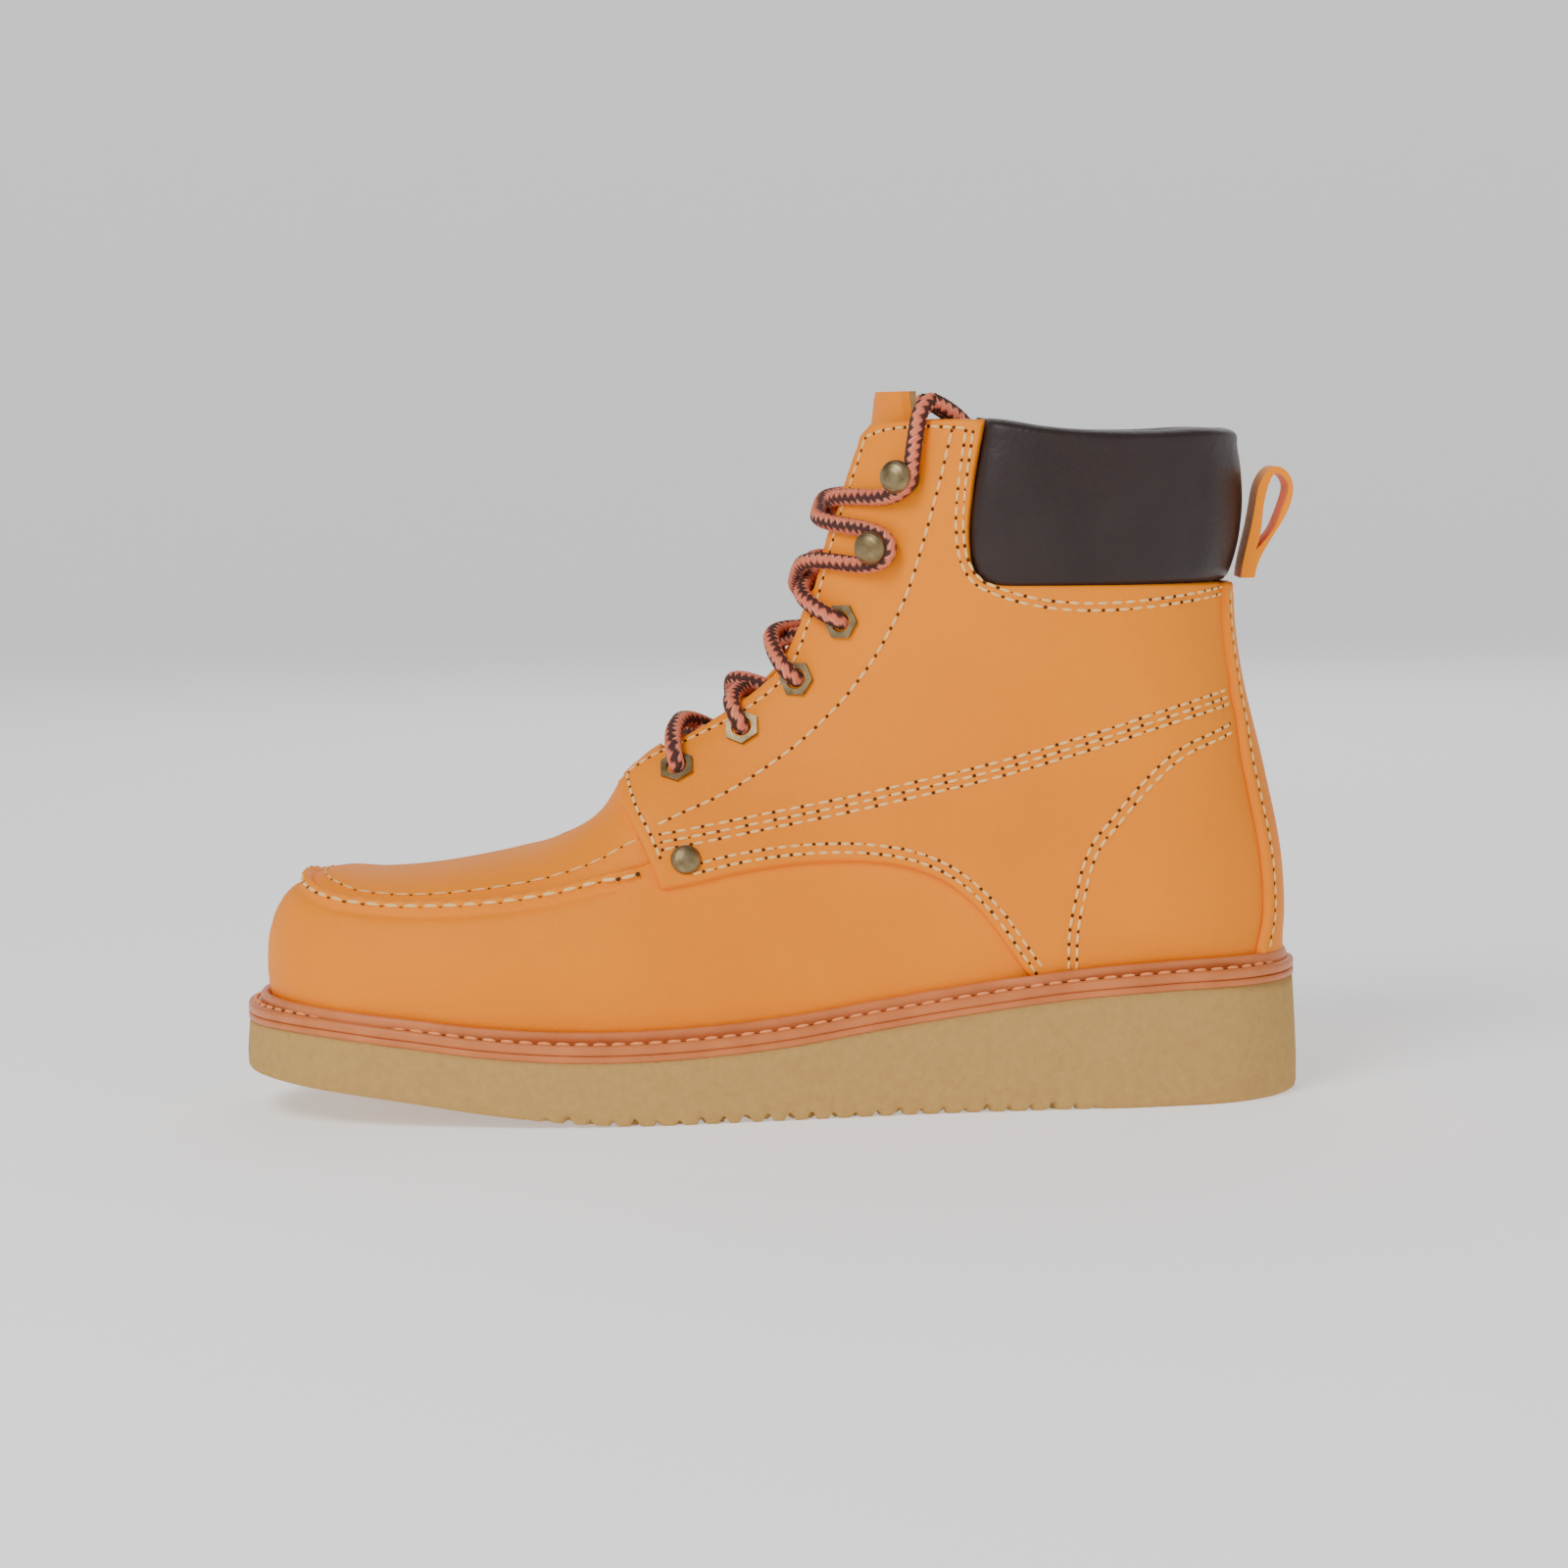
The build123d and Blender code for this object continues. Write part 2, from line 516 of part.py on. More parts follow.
SEAT = QUARTER_OUT + 0.25  # height of the metal's seat on the quarter
DOME_R = 4.75
for name, side in SIDES.items():
    with BuildPart() as eyelets:
        for x, z in EYELETS:
            p, n = side_point(x, z, side), side_normal(x, z, side)
            with BuildSketch(Plane(origin=p + n * SEAT, z_dir=n)):
                RegularPolygon(EYELET_ACROSS / 2, 6)
                Circle(EYELET_HOLE_R, mode=Mode.SUBTRACT)
            extrude(amount=0.9)
            spun(p, n, [(EYELET_HOLE_R, -4.6), (4.7, -4.6), (4.7, -4.1), (EYELET_BARREL_R, -4.1),
                        (EYELET_BARREL_R, SEAT + 0.2), (EYELET_HOLE_R, SEAT + 0.2)])
    save(eyelets.part, f"eyelets_{name}")
    with BuildPart() as hooks:
        for x, z in HOOKS:
            p, n = side_point(x, z, side), side_normal(x, z, side)
            spun(p, n, [(0, SEAT), (4.6, SEAT), (4.6, SEAT + 0.7), (1.9, SEAT + 0.7), (1.9, SEAT + 6.0)]
                 + dome(DOME_R, SEAT + 6.0, 2.6))
    save(hooks.part, f"speed_hooks_{name}")
    x, z = RIVET
    p, n = side_point(x, z, side), side_normal(x, z, side)
    with BuildPart() as rivet:
        spun(p, n, [(0, -6.9), (3.4, -6.9), (3.4, -6.3), (1.2, -6.3), (1.2, SEAT)] + dome(4.3, SEAT, 2.2))
    save(rivet.part, f"rivet_{name}")


# ---------------------------------------------------------------- lace
LACE_R = LACE_D / 2
OVER = QUARTER_OUT + LACE_R + 1.2  # the lace's middle where it lies on a quarter
UNDER = SHAFT_LINING_IN - LACE_R - 0.2  # and where it lies behind the facing
CROSS_OVER = 2.2  # its middle where two runs cross, for the upper run and the lower one
CROSS_UNDER = -3.6
EYELET_PLACES = [place_of(x, z) for x, z in EYELETS]
HOOK_PLACES = [place_of(x, z) for x, z in HOOKS]


def at_eyelet(k, side, height):
    x, z = EYELETS[k]
    return side_point(x, z, side) + side_normal(x, z, side) * height


def round_hook(k, side):
    """Three corners of the lace's turn round a hook's neck: below it, behind it and above it."""
    x, z = HOOKS[k]
    p, n = side_point(x, z, side), side_normal(x, z, side)
    up = Vector(HOOKS[1][0] - HOOKS[0][0], 0, HOOKS[1][1] - HOOKS[0][1]).normalized()
    up = (up - n * up.dot(n)).normalized()
    back = n.cross(up) * side
    seat = p + n * OVER
    return seat - up * 5.2 + back * 4.6, seat + up * 5.4 + back * 4.6


def half_lace(first_side, crossing):
    """One half of the lace's route, from the middle of the bottom bar up to the top of a quarter."""
    side = first_side
    points = [front_point(EYELET_PLACES[0], 0, UNDER)]
    for k, place in enumerate(EYELET_PLACES):
        points += [at_eyelet(k, side, UNDER), at_eyelet(k, side, OVER + 1.0)]
        following = (EYELET_PLACES + HOOK_PLACES)[k + 1]
        step = following - place
        points += [front_point(place + step * 0.2, side * 14.5, OVER), front_point(place + step * 0.5, 0, crossing)]
        side = -side
        if k + 1 < len(EYELET_PLACES):
            points.append(front_point(place + step * 0.82, side * 14.0, UNDER + 0.2))
        else:
            points.append(front_point(place + step * 0.8, side * 14.5, OVER))
    points += round_hook(0, side)
    low, high = HOOK_PLACES
    points += [front_point(low + 0.32 * (high - low), side * 15.0, OVER), front_point(low + 0.5 * (high - low), 0, crossing)]
    side = -side
    points += [front_point(low + 0.75 * (high - low), side * 15.5, OVER)]
    points += [round_hook(1, side)[0], side_point(43.6, 189.5, side, OVER), side_point(45.8, 200.2, side, 3.4)]
    points += [over_edge(side)]
    return side, points


def over_edge(side):
    """Where the lace passes over the top of a quarter and its free end begins."""
    return side_point(49.0, 201.2, side, -1.4)


def round_corners(points, most=60.0):
    """The radius at each corner of a route: 0.45 of its shorter run over the tangent of half its turn."""
    radii = []
    for a, b, c in zip(points, points[1:], points[2:]):
        turn = math.radians((b - a).get_angle(c - b))
        radii.append(min(most, 0.45 * min((b - a).length, (c - b).length) / math.tan(turn / 2)))
    return radii


def cord(points):
    """A round cord along straight runs and tangent arcs; its radii and volume are printed."""
    radii = round_corners(points)
    with BuildPart() as tube:
        with BuildLine() as route:
            FilletPolyline(*points, radius=radii)
        with BuildSketch(Plane(origin=points[0], z_dir=points[1] - points[0])):
            Circle(LACE_R)
        sweep(path=route.line)
    expected = math.pi * LACE_R**2 * route.wires()[0].length
    print(f"cord {route.wires()[0].length:.0f} mm, least radius {min(radii):.1f}, volume {tube.part.volume / expected:.3f}")
    return tube.part


TAIL_ROUTE = [(55.0, 198.4, -6.8), (61.5, 190.0, -8.4), (65.0, 177.0, -7.0), (67.4, 162.0, -7.4), (68.6, 146.0, -6.9),
              (70.4, 131.0, -7.6), (71.0, 117.0, -7.2), (72.2, 104.0, -7.6)]
AGLET_LENGTH = 22.0
halves = []
for first_side, crossing in ((-1, CROSS_OVER), (1, CROSS_UNDER)):
    side, points = half_lace(first_side, crossing)
    halves.append(cord(points))
    name = "lateral" if side < 0 else "medial"
    tail_points = [over_edge(side)] + [side_point(x, z, side, h) for x, z, h in TAIL_ROUTE]
    tail = cord(tail_points)
    save(tail, f"lace_tail_{name}")
    end = tail_points[-1]
    with BuildPart() as aglet:
        with BuildSketch(Plane(origin=end, z_dir=end - tail_points[-2])):
            Circle(LACE_R - 0.4)
        extrude(amount=AGLET_LENGTH)
        fillet(aglet.edges().filter_by(GeomType.CIRCLE).sort_by(Axis.Z)[0], 0.6)
    save(aglet.part, f"aglet_{name}")
with BuildPart() as lace:
    add(halves)
save(lace.part, "lace")
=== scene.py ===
"""Looks of a left work boot: wheat leather, moc toe, padded collar, braided lace, wedge sole."""

import bmesh
import bpy
import numpy as np
from mathutils import Matrix, Vector
from mathutils.geometry import delaunay_2d_cdt


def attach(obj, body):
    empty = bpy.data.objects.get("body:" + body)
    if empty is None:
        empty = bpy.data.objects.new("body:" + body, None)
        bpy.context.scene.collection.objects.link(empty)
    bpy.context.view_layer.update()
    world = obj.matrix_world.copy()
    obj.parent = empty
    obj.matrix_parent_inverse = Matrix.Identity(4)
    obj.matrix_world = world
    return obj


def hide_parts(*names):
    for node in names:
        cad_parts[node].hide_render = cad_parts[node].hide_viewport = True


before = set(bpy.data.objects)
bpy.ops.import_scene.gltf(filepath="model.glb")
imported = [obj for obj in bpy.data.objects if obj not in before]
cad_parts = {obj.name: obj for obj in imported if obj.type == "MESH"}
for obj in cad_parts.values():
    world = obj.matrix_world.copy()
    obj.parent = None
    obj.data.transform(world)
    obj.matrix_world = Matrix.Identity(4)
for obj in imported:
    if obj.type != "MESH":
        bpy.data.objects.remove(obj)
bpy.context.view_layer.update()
MM = 0.001

# ---------------------------------------------------------------- the upper's surface, in millimetres
TURN_X, TURN_Z = -60.0, 165.0  # the line that the station planes turn about
# Place, near edge, far edge, widest point, outer and inner half width, squareness near and far.
STATIONS = np.array([
    (-86.3, 121.5, 122.5, 122.0, 0.8, 0.8, 2.0, 2.0),
    (-85.9, 116.5, 128.0, 122.2, 6.0, 6.0, 2.0, 2.0),
    (-84.5, 109.9, 135.0, 122.5, 12.2, 12.2, 2.05, 2.1),
    (-82.0, 104.6, 138.5, 123.0, 18.5, 18.8, 2.1, 2.3),
    (-78.0, 100.2, 140.7, 123.5, 25.3, 25.8, 2.2, 2.7),
    (-72.0, 96.5, 142.3, 124.0, 32.0, 32.6, 2.3, 3.2),
    (-64.0, 94.8, 143.7, 124.5, 37.5, 38.2, 2.4, 3.6),
    (-52.0, 95.4, 145.0, 125.0, 42.0, 42.6, 2.4, 4.0),
    (-38.0, 94.7, 146.6, 125.5, 44.6, 45.0, 2.4, 4.0),
    (-24.0, 92.7, 148.5, 126.0, 46.0, 46.0, 2.4, 4.0),
    (-12.0, 90.3, 149.6, 126.5, 46.2, 45.4, 2.4, 4.0),
    (0.0, 86.9, 150.5, 127.0, 46.0, 44.0, 2.4, 4.0),
    (8.0, 81.0, 152.3, 130.2, 45.2, 41.6, 2.3, 4.0),
    (14.0, 73.0, 154.9, 133.4, 43.8, 39.2, 2.25, 4.0),
    (20.0, 69.0, 158.8, 137.0, 42.0, 36.5, 2.2, 4.0),
    (30.0, 67.2, 168.2, 146.0, 38.2, 32.8, 2.15, 4.0),
    (38.0, 66.6, 179.9, 156.0, 35.2, 31.2, 2.1, 4.0),
    (45.0, 67.1, 195.6, 165.0, 33.2, 31.2, 2.1, 3.8),
    (50.0, 67.7, 212.3, 171.0, 32.5, 31.6, 2.1, 3.2),
    (54.0, 68.5, 230.8, 176.0, 32.3, 31.9, 2.1, 2.7),
    (57.0, 69.3, 241.6, 177.0, 32.4, 32.2, 2.1, 2.35),
    (60.0, 69.7, 237.1, 174.0, 32.6, 32.5, 2.1, 2.2),
    (64.0, 70.2, 228.4, 168.0, 33.0, 33.0, 2.1, 2.1),
    (70.0, 71.1, 213.4, 158.0, 33.6, 33.6, 2.1, 2.1),
    (77.0, 72.8, 199.4, 150.0, 34.4, 34.4, 2.1, 2.1),
    (84.0, 74.6, 193.1, 146.0, 35.4, 35.4, 2.1, 2.1),
    (90.0, 76.9, 194.1, 146.0, 36.5, 36.5, 2.1, 2.1),
    (103.0, 81.9, 194.8, 148.0, 37.6, 37.6, 2.1, 2.1),
    (117.0, 87.0, 195.2, 150.0, 38.5, 38.5, 2.1, 2.1),
    (131.0, 91.0, 195.6, 152.0, 39.0, 39.0, 2.1, 2.1),
    (145.0, 95.0, 196.0, 154.0, 39.4, 39.4, 2.1, 2.1),
])
SOLE_TOP = np.array([(-153.0, 26.9), (-136.0, 26.4), (-106.0, 23.3), (-79.0, 19.9), (-51.0, 18.2), (-20.0, 18.8),
                     (3.0, 20.6), (30.0, 24.4), (58.0, 28.2), (85.0, 31.3), (113.0, 33.0), (153.0, 33.2)])
GROUND = np.array([(-153.0, 13.2), (-136.0, 11.3), (-106.0, 7.8), (-79.0, 3.8), (-51.0, 0.7), (-34.0, 0.0), (-24.0, 0.0),
                   (0.0, 0.0), (153.0, 0.0)])
SOLE_OUTER = [(-148.0, 22.0), (-135.0, 37.0), (-115.0, 46.0), (-90.0, 50.5), (-60.0, 53.0), (-35.0, 52.5),
              (0.0, 48.0), (40.0, 42.0), (80.0, 39.0), (110.0, 37.5), (135.0, 31.0), (148.0, 18.0)]
SOLE_INNER = [(-148.0, 24.0), (-135.0, 38.0), (-115.0, 47.0), (-90.0, 52.0), (-70.0, 53.0), (-40.0, 48.5),
              (0.0, 40.0), (40.0, 36.0), (80.0, 37.0), (110.0, 37.5), (135.0, 31.0), (148.0, 18.0)]
SOLE_HALF = 153.0
LEATHER = 2.0
QUARTER_OUT = 2.1
MIDSOLE, WELT, BEAD = 2.0, 3.0, 3.5


def hermite(xs, ys, x):
    """A smooth curve through (xs, ys): on each span a cubic whose end slopes are the chords of the neighbours."""
    xs, ys, x = np.asarray(xs, float), np.asarray(ys, float), np.asarray(x, float)
    slope = np.gradient(ys, xs, axis=0)
    k = np.clip(np.searchsorted(xs, x) - 1, 0, len(xs) - 2)
    span = xs[k + 1] - xs[k]
    s = np.clip((x - xs[k]) / span, 0, 1)
    if ys.ndim > 1:
        s, span = s[..., None], span[..., None]
    return ((2 * s**3 - 3 * s**2 + 1) * ys[k] + (s**3 - 2 * s**2 + s) * span * slope[k]
            + (3 * s**2 - 2 * s**3) * ys[k + 1] + (s**3 - s**2) * span * slope[k + 1])


def place_of(x, z):
    """The station through (x, z): x - TURN_X ahead of the turn, degrees in it, 90 + height above it."""
    turn = np.degrees(np.arctan2(x - TURN_X, TURN_Z - z))
    return np.where(x < TURN_X, x - TURN_X, np.where(z > TURN_Z, 90 + z - TURN_Z, turn))


def half_width(x, z, side, height=0.0):
    """Half the boot's width at (x, z): b (1 - share ^ n) ^ (1 / n), share = distance from the widest point."""
    place = place_of(x, z)
    near, far, widest, outer, inner, n_near, n_far = np.moveaxis(hermite(STATIONS[:, 0], STATIONS[:, 1:], place), -1, 0)
    turning = (x >= TURN_X) & (z <= TURN_Z)
    along = np.where(x < TURN_X, TURN_Z - z, np.where(turning, np.hypot(x - TURN_X, TURN_Z - z), x - TURN_X))
    half = np.where(side < 0, outer, inner) + height
    first = along < widest
    share = np.where(first, (widest - along) / (widest - near + height), (along - widest) / (far - widest + height))
    n = np.where(first, n_near, n_far)
    return half * (1 - np.clip(share, 0, 1) ** n) ** (1 / n) * (share < 1) * (place > STATIONS[0, 0])


def outward(origin, direction, low=0.0, high=90.0):
    """Where rays from inside leave the surface, by halving: inside means |y| < half_width(x, z)."""
    low = np.full(direction.shape[:-1], low)
    high = np.full(direction.shape[:-1], high)
    for _ in range(26):
        middle = (low + high) / 2
        p = origin + direction * middle[..., None]
        within = np.abs(p[..., 1]) < half_width(p[..., 0], p[..., 2], np.sign(p[..., 1]))
        low, high = np.where(within, middle, low), np.where(within, high, middle)
    return origin + direction * low[..., None]


def side_point(x, z, side, height=0.0):
    """Points of the surface, raised by height, seen at (x, z) from one side."""
    x, z = np.asarray(x, float), np.asarray(z, float)
    return np.stack([x, side * half_width(x, z, side, height), z], -1)


HEEL_X = 100.0  # behind it, plane points go round the heel: HEEL_ROUND millimetres for each radian
HEEL_ROUND = 32.0


def unrolled(line, side=-1.0):
    """Side-view points (x, z) with x behind HEEL_X measured round the heel instead."""
    line = np.asarray(line, float)
    x, z = line[:, 0], line[:, 1]
    y = half_width(x, z, side)
    round_it = HEEL_X + HEEL_ROUND * np.arctan2(x - HEEL_X, np.maximum(y, 1e-6))
    return np.column_stack([np.where(x > HEEL_X, round_it, x), z])


def laid(v, side):
    """Surface points and normals of unrolled plane points (u, z)."""
    u, z = v[:, 0], v[:, 1]
    p = side_point(np.minimum(u, HEEL_X), z, side)
    turn = np.maximum(u - HEEL_X, 0) / HEEL_ROUND
    direction = np.column_stack([np.sin(turn), side * np.cos(turn), np.zeros(len(u))])
    behind = u > HEEL_X
    if behind.any():
        origin = np.column_stack([np.full(len(u), HEEL_X), np.zeros(len(u)), z])
        p[behind] = outward(origin[behind], direction[behind])
    return p, normal(p)


def normal(p):
    """Outward direction at points on the surface: the downhill direction of half_width(x, z) - |y|."""
    x, y, z = np.moveaxis(p, -1, 0)
    side = np.where(y < 0, -1.0, 1.0)
    e = 0.6
    wx = (half_width(x + e, z, side) - half_width(x - e, z, side)) / (2 * e)
    wz = (half_width(x, z + e, side) - half_width(x, z - e, side)) / (2 * e)
    steep = np.hypot(wx, wz)
    limit = np.where(steep > 12, 12 / np.maximum(steep, 1e-9), 1)
    n = np.stack([-wx * limit, side, -wz * limit], -1)
    return n / np.linalg.norm(n, axis=-1, keepdims=True)


def front_point(place, y, height=0.0):
    """A point on the front of the upper at a station and a distance across, raised by height."""
    place, y = np.broadcast_arrays(np.asarray(place, float), np.asarray(y, float))
    near, far, widest, outer, inner, n_near, n_far = np.moveaxis(hermite(STATIONS[:, 0], STATIONS[:, 1:], place), -1, 0)
    half = np.where(y < 0, outer, inner) + height
    along = widest - (widest - near + height) * (1 - np.clip(np.abs(y) / half, 0, 1) ** n_near) ** (1 / n_near)
    a = np.radians(np.clip(place, 0, 90))
    x = np.where(place < 0, TURN_X + place, TURN_X + along * np.sin(a))
    z = np.where(place < 0, TURN_Z - along, TURN_Z - along * np.cos(a) + np.maximum(place - 90, 0))
    return np.stack([x, y, z], -1)


def profile(line, x):
    """The height of a smooth line of (x, height) points at x."""
    line = np.asarray(line, float)
    return hermite(line[:, 0], line[:, 1], x)


# ---------------------------------------------------------------- meshes
FINISH = "_finish"  # ends the name of each finish, before which is its slot


def mesh(name, points, faces, material, body="boot"):
    """An object from points in millimetres and a list of faces."""
    data = bpy.data.meshes.new(name)
    data.from_pydata((np.asarray(points).reshape(-1, 3) * MM).tolist(), [], [list(map(int, f)) for f in faces])
    data.polygons.foreach_set("use_smooth", np.full(len(data.polygons), True))
    data.materials.append(material)
    data.validate()
    piece = bpy.data.objects.new(name, data)
    bpy.context.scene.collection.objects.link(piece)
    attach(piece, body)
    return piece


def grid_faces(rows, columns, wrap_rows=False, wrap_columns=False, start=0):
    """Quads of a grid whose point (i, j) is number i * columns + j."""
    i, j = np.meshgrid(np.arange(rows - (not wrap_rows)), np.arange(columns - (not wrap_columns)), indexing="ij")
    k, m = (i + 1) % rows, (j + 1) % columns
    quads = np.stack([i * columns + j, k * columns + j, k * columns + m, i * columns + m], -1).reshape(-1, 4)
    return (quads + start).tolist()


def recalculated(piece):
    """Merge doubles and turn every face outwards."""
    bm = bmesh.new()
    bm.from_mesh(piece.data)
    bmesh.ops.remove_doubles(bm, verts=bm.verts, dist=1e-6)
    bmesh.ops.recalc_face_normals(bm, faces=bm.faces)
    bm.to_mesh(piece.data)
    bm.free()
    return piece


def slab(name, top, bottom, material):
    """A closed sheet between two grids of the same shape."""
    rows, columns = top.shape[:2]
    count = rows * columns
    number = np.arange(count).reshape(rows, columns)
    ring = np.r_[number[0], number[1:, -1], number[-1, -2::-1], number[-2:0:-1, 0]].tolist()
    faces = grid_faces(rows, columns) + [f[::-1] for f in grid_faces(rows, columns, start=count)]
    faces += [(a, b, b + count, a + count) for a, b in zip(ring, ring[1:] + ring[:1])]
    return recalculated(mesh(name, np.concatenate([top.reshape(-1, 3), bottom.reshape(-1, 3)]), faces, material))


def read_along(at, run, values):
    """Values at distances along a line, straight between its points."""
    return np.stack([np.interp(at, run, values[:, k]) for k in range(values.shape[1])], -1)


def resampled(points, step, closed=False, smooth=True):
    """A line through points, as points about step apart; smooth rounds it between its points."""
    p = np.asarray(points, float)
    if closed:
        p = np.vstack([p, p[:1]])
    run = np.r_[0, np.cumsum(np.linalg.norm(np.diff(p, axis=0), axis=1))]
    fine = np.linspace(0, run[-1], max(int(run[-1] * 4), 8))
    line = hermite(run, p, fine) if smooth else read_along(fine, run, p)
    length = np.r_[0, np.cumsum(np.linalg.norm(np.diff(line, axis=0), axis=1))]
    count = max(int(round(length[-1] / step)), 1)
    at = np.linspace(0, length[-1], count + 1)[: count + (not closed)]
    return read_along(at, length, line)


def distance_to(line, q, closed=False):
    """Distance in the plane from points q to a polyline."""
    a = np.asarray(line)
    b = np.roll(a, -1, axis=0)
    if not closed:
        a, b = a[:-1], b[:-1]
    ab = b - a
    best = np.full(len(q), 1e9)
    for s, d in zip(a, ab):
        t = np.clip(((q - s) @ d) / max(d @ d, 1e-12), 0, 1)
        best = np.minimum(best, np.linalg.norm(q - s - t[:, None] * d, axis=1))
    return best


def within(line, q):
    """Which points q lie inside a closed outline: an odd number of its edges cross the ray to +X."""
    a, b = np.asarray(line), np.roll(np.asarray(line), -1, axis=0)
    odd = np.zeros(len(q), bool)
    for (ax, ay), (bx, by) in zip(a.tolist(), b.tolist()):
        spans = (ay > q[:, 1]) != (by > q[:, 1])
        cross = ax + (q[:, 1] - ay) * (bx - ax) / (by - ay if by != ay else 1e-12)
        odd ^= spans & (q[:, 0] < cross)
    return odd


def beside(line, distance, step=1.0):
    """A plane line moved sideways to its left by distance."""
    points = resampled(line, step)
    t = np.gradient(points, axis=0)
    t /= np.linalg.norm(t, axis=1, keepdims=True) + 1e-9
    return points + np.column_stack([-t[:, 1], t[:, 0]]) * distance


def cut_panel(name, outline, step, lift, thickness, material, relief, lines, round_edge=1.2, sink=0.3):
    """A panel cut to an outline in the plane, laid on the surface by lift (plane point to point and normal).

    Its height over the surface is thickness * sqrt(1 - (1 - d / r) ^ 2) and the relief, d being the distance to the
    outline and r the width of the rounded edge. Lines are followed by extra points at their side steps.
    """
    edge = resampled(outline, step, closed=True, smooth=False)
    rings = [edge]
    low, high = edge.min(0), edge.max(0)
    gx, gy = np.meshgrid(np.arange(low[0], high[0], step), np.arange(low[1], high[1], step), indexing="ij")
    gx = gx + (np.arange(gx.shape[1]) % 2) * step / 2
    q = np.stack([gx.ravel(), gy.ravel()], -1)
    q = q[within(edge, q)]
    d = distance_to(edge, q, closed=True)
    q = q[d > step * 0.9]
    tangent = np.roll(edge, -1, 0) - np.roll(edge, 1, 0)
    inward = np.stack([-tangent[:, 1], tangent[:, 0]], -1)
    inward /= np.linalg.norm(inward, axis=1, keepdims=True) + 1e-9
    area = np.sum(edge[:, 0] * np.roll(edge[:, 1], -1) - edge[:, 1] * np.roll(edge[:, 0], -1))
    inward *= np.sign(area)
    for share in (0.12, 0.38, 0.7):
        ring = edge + inward * round_edge * share
        ok = within(edge, ring) & (distance_to(edge, ring, closed=True) > round_edge * share * 0.9)
        rings.append(ring[ok])
    extra = np.vstack([beside(line, s, step) for line, side_steps in lines for s in side_steps])
    extra = extra[within(edge, extra)]
    extra = extra[distance_to(edge, extra, closed=True) > round_edge * 1.2]
    for line, side_steps in lines:
        q = q[distance_to(resampled(line, step), q) > max(map(abs, side_steps)) + step * 0.5]
    points = np.vstack(rings + [extra, q])
    n_edge = len(edge)
    edges = [(i, (i + 1) % n_edge) for i in range(n_edge)]
    verts, _, faces, *_ = delaunay_2d_cdt([Vector(p) for p in points], edges, [], 1, 1e-4)
    v = np.array([tuple(p) for p in verts])
    centre = np.array([v[list(f)].mean(0) for f in faces])
    keep = within(edge, centre)
    faces = [tuple(f) for f, k in zip(faces, keep) if k]
    base, n = lift(v)
    d = distance_to(edge, v, closed=True)
    r = np.clip(d / round_edge, 0, 1)
    height = thickness * np.sqrt(np.clip(1 - (1 - r) ** 2, 0, 1))
    height = height + relief(v) * r
    count = len(v)
    top = base + n * height[:, None]
    bottom = base - n * sink
    border = {pair for f in faces for pair in zip(f, f[1:] + f[:1])}
    skirt = [(b, a, a + count, b + count) for a, b in sorted(border) if (b, a) not in border]
    all_faces = faces + [tuple(i + count for i in reversed(f)) for f in faces] + skirt
    return recalculated(mesh(name, np.vstack([top, bottom]), all_faces, material))


# ---------------------------------------------------------------- materials
def new_material(name):
    """A material, its node tree and its shader."""
    material = bpy.data.materials.new(name + FINISH)
    material.use_nodes = True
    tree = material.node_tree
    return material, tree, tree.nodes["Principled BSDF"]


def node(tree, kind, **values):
    """A shader node with its sockets or settings given by name."""
    n = tree.nodes.new(kind)
    for key, value in values.items():
        if key in n.inputs:
            n.inputs[key].default_value = value
        else:
            setattr(n, key, value)
    return n


def noise(tree, scale, detail=3.0, roughness=0.5):
    """Noise fixed to the object, with scale bumps to a metre."""
    place = node(tree, "ShaderNodeTexCoord")
    n = node(tree, "ShaderNodeTexNoise", Scale=scale, Detail=detail, Roughness=roughness)
    tree.links.new(place.outputs["Object"], n.inputs["Vector"])
    return n.outputs["Fac"]


def ramp(tree, value, stops):
    """A colour for each value, from stops of (value, colour)."""
    r = node(tree, "ShaderNodeValToRGB")
    elements = r.color_ramp.elements
    while len(elements) < len(stops):
        elements.new(0.5)
    for element, (at, colour) in zip(elements, stops):
        element.position = at
        element.color = (*colour, 1)
    tree.links.new(value, r.inputs["Fac"])
    return r.outputs["Color"]


def bumped(tree, shader, value, strength, distance):
    """Gives a shader a grain from a height value."""
    b = node(tree, "ShaderNodeBump", Strength=strength, Distance=distance)
    tree.links.new(value, b.inputs["Height"])
    tree.links.new(b.outputs["Normal"], shader.inputs["Normal"])


def mottled(name, dark, light, scale, roughness, grain, grain_scale, depth, specular=0.3):
    """A finish that drifts between two colours, with a fine grain of its own."""
    material, tree, shader = new_material(name)
    tree.links.new(ramp(tree, noise(tree, scale, 4.0), [(0.3, dark), (0.7, light)]), shader.inputs["Base Color"])
    shader.inputs["Roughness"].default_value = roughness
    shader.inputs["Specular IOR Level"].default_value = specular
    bumped(tree, shader, noise(tree, grain_scale, 5.0, 0.6), grain, depth)
    return material


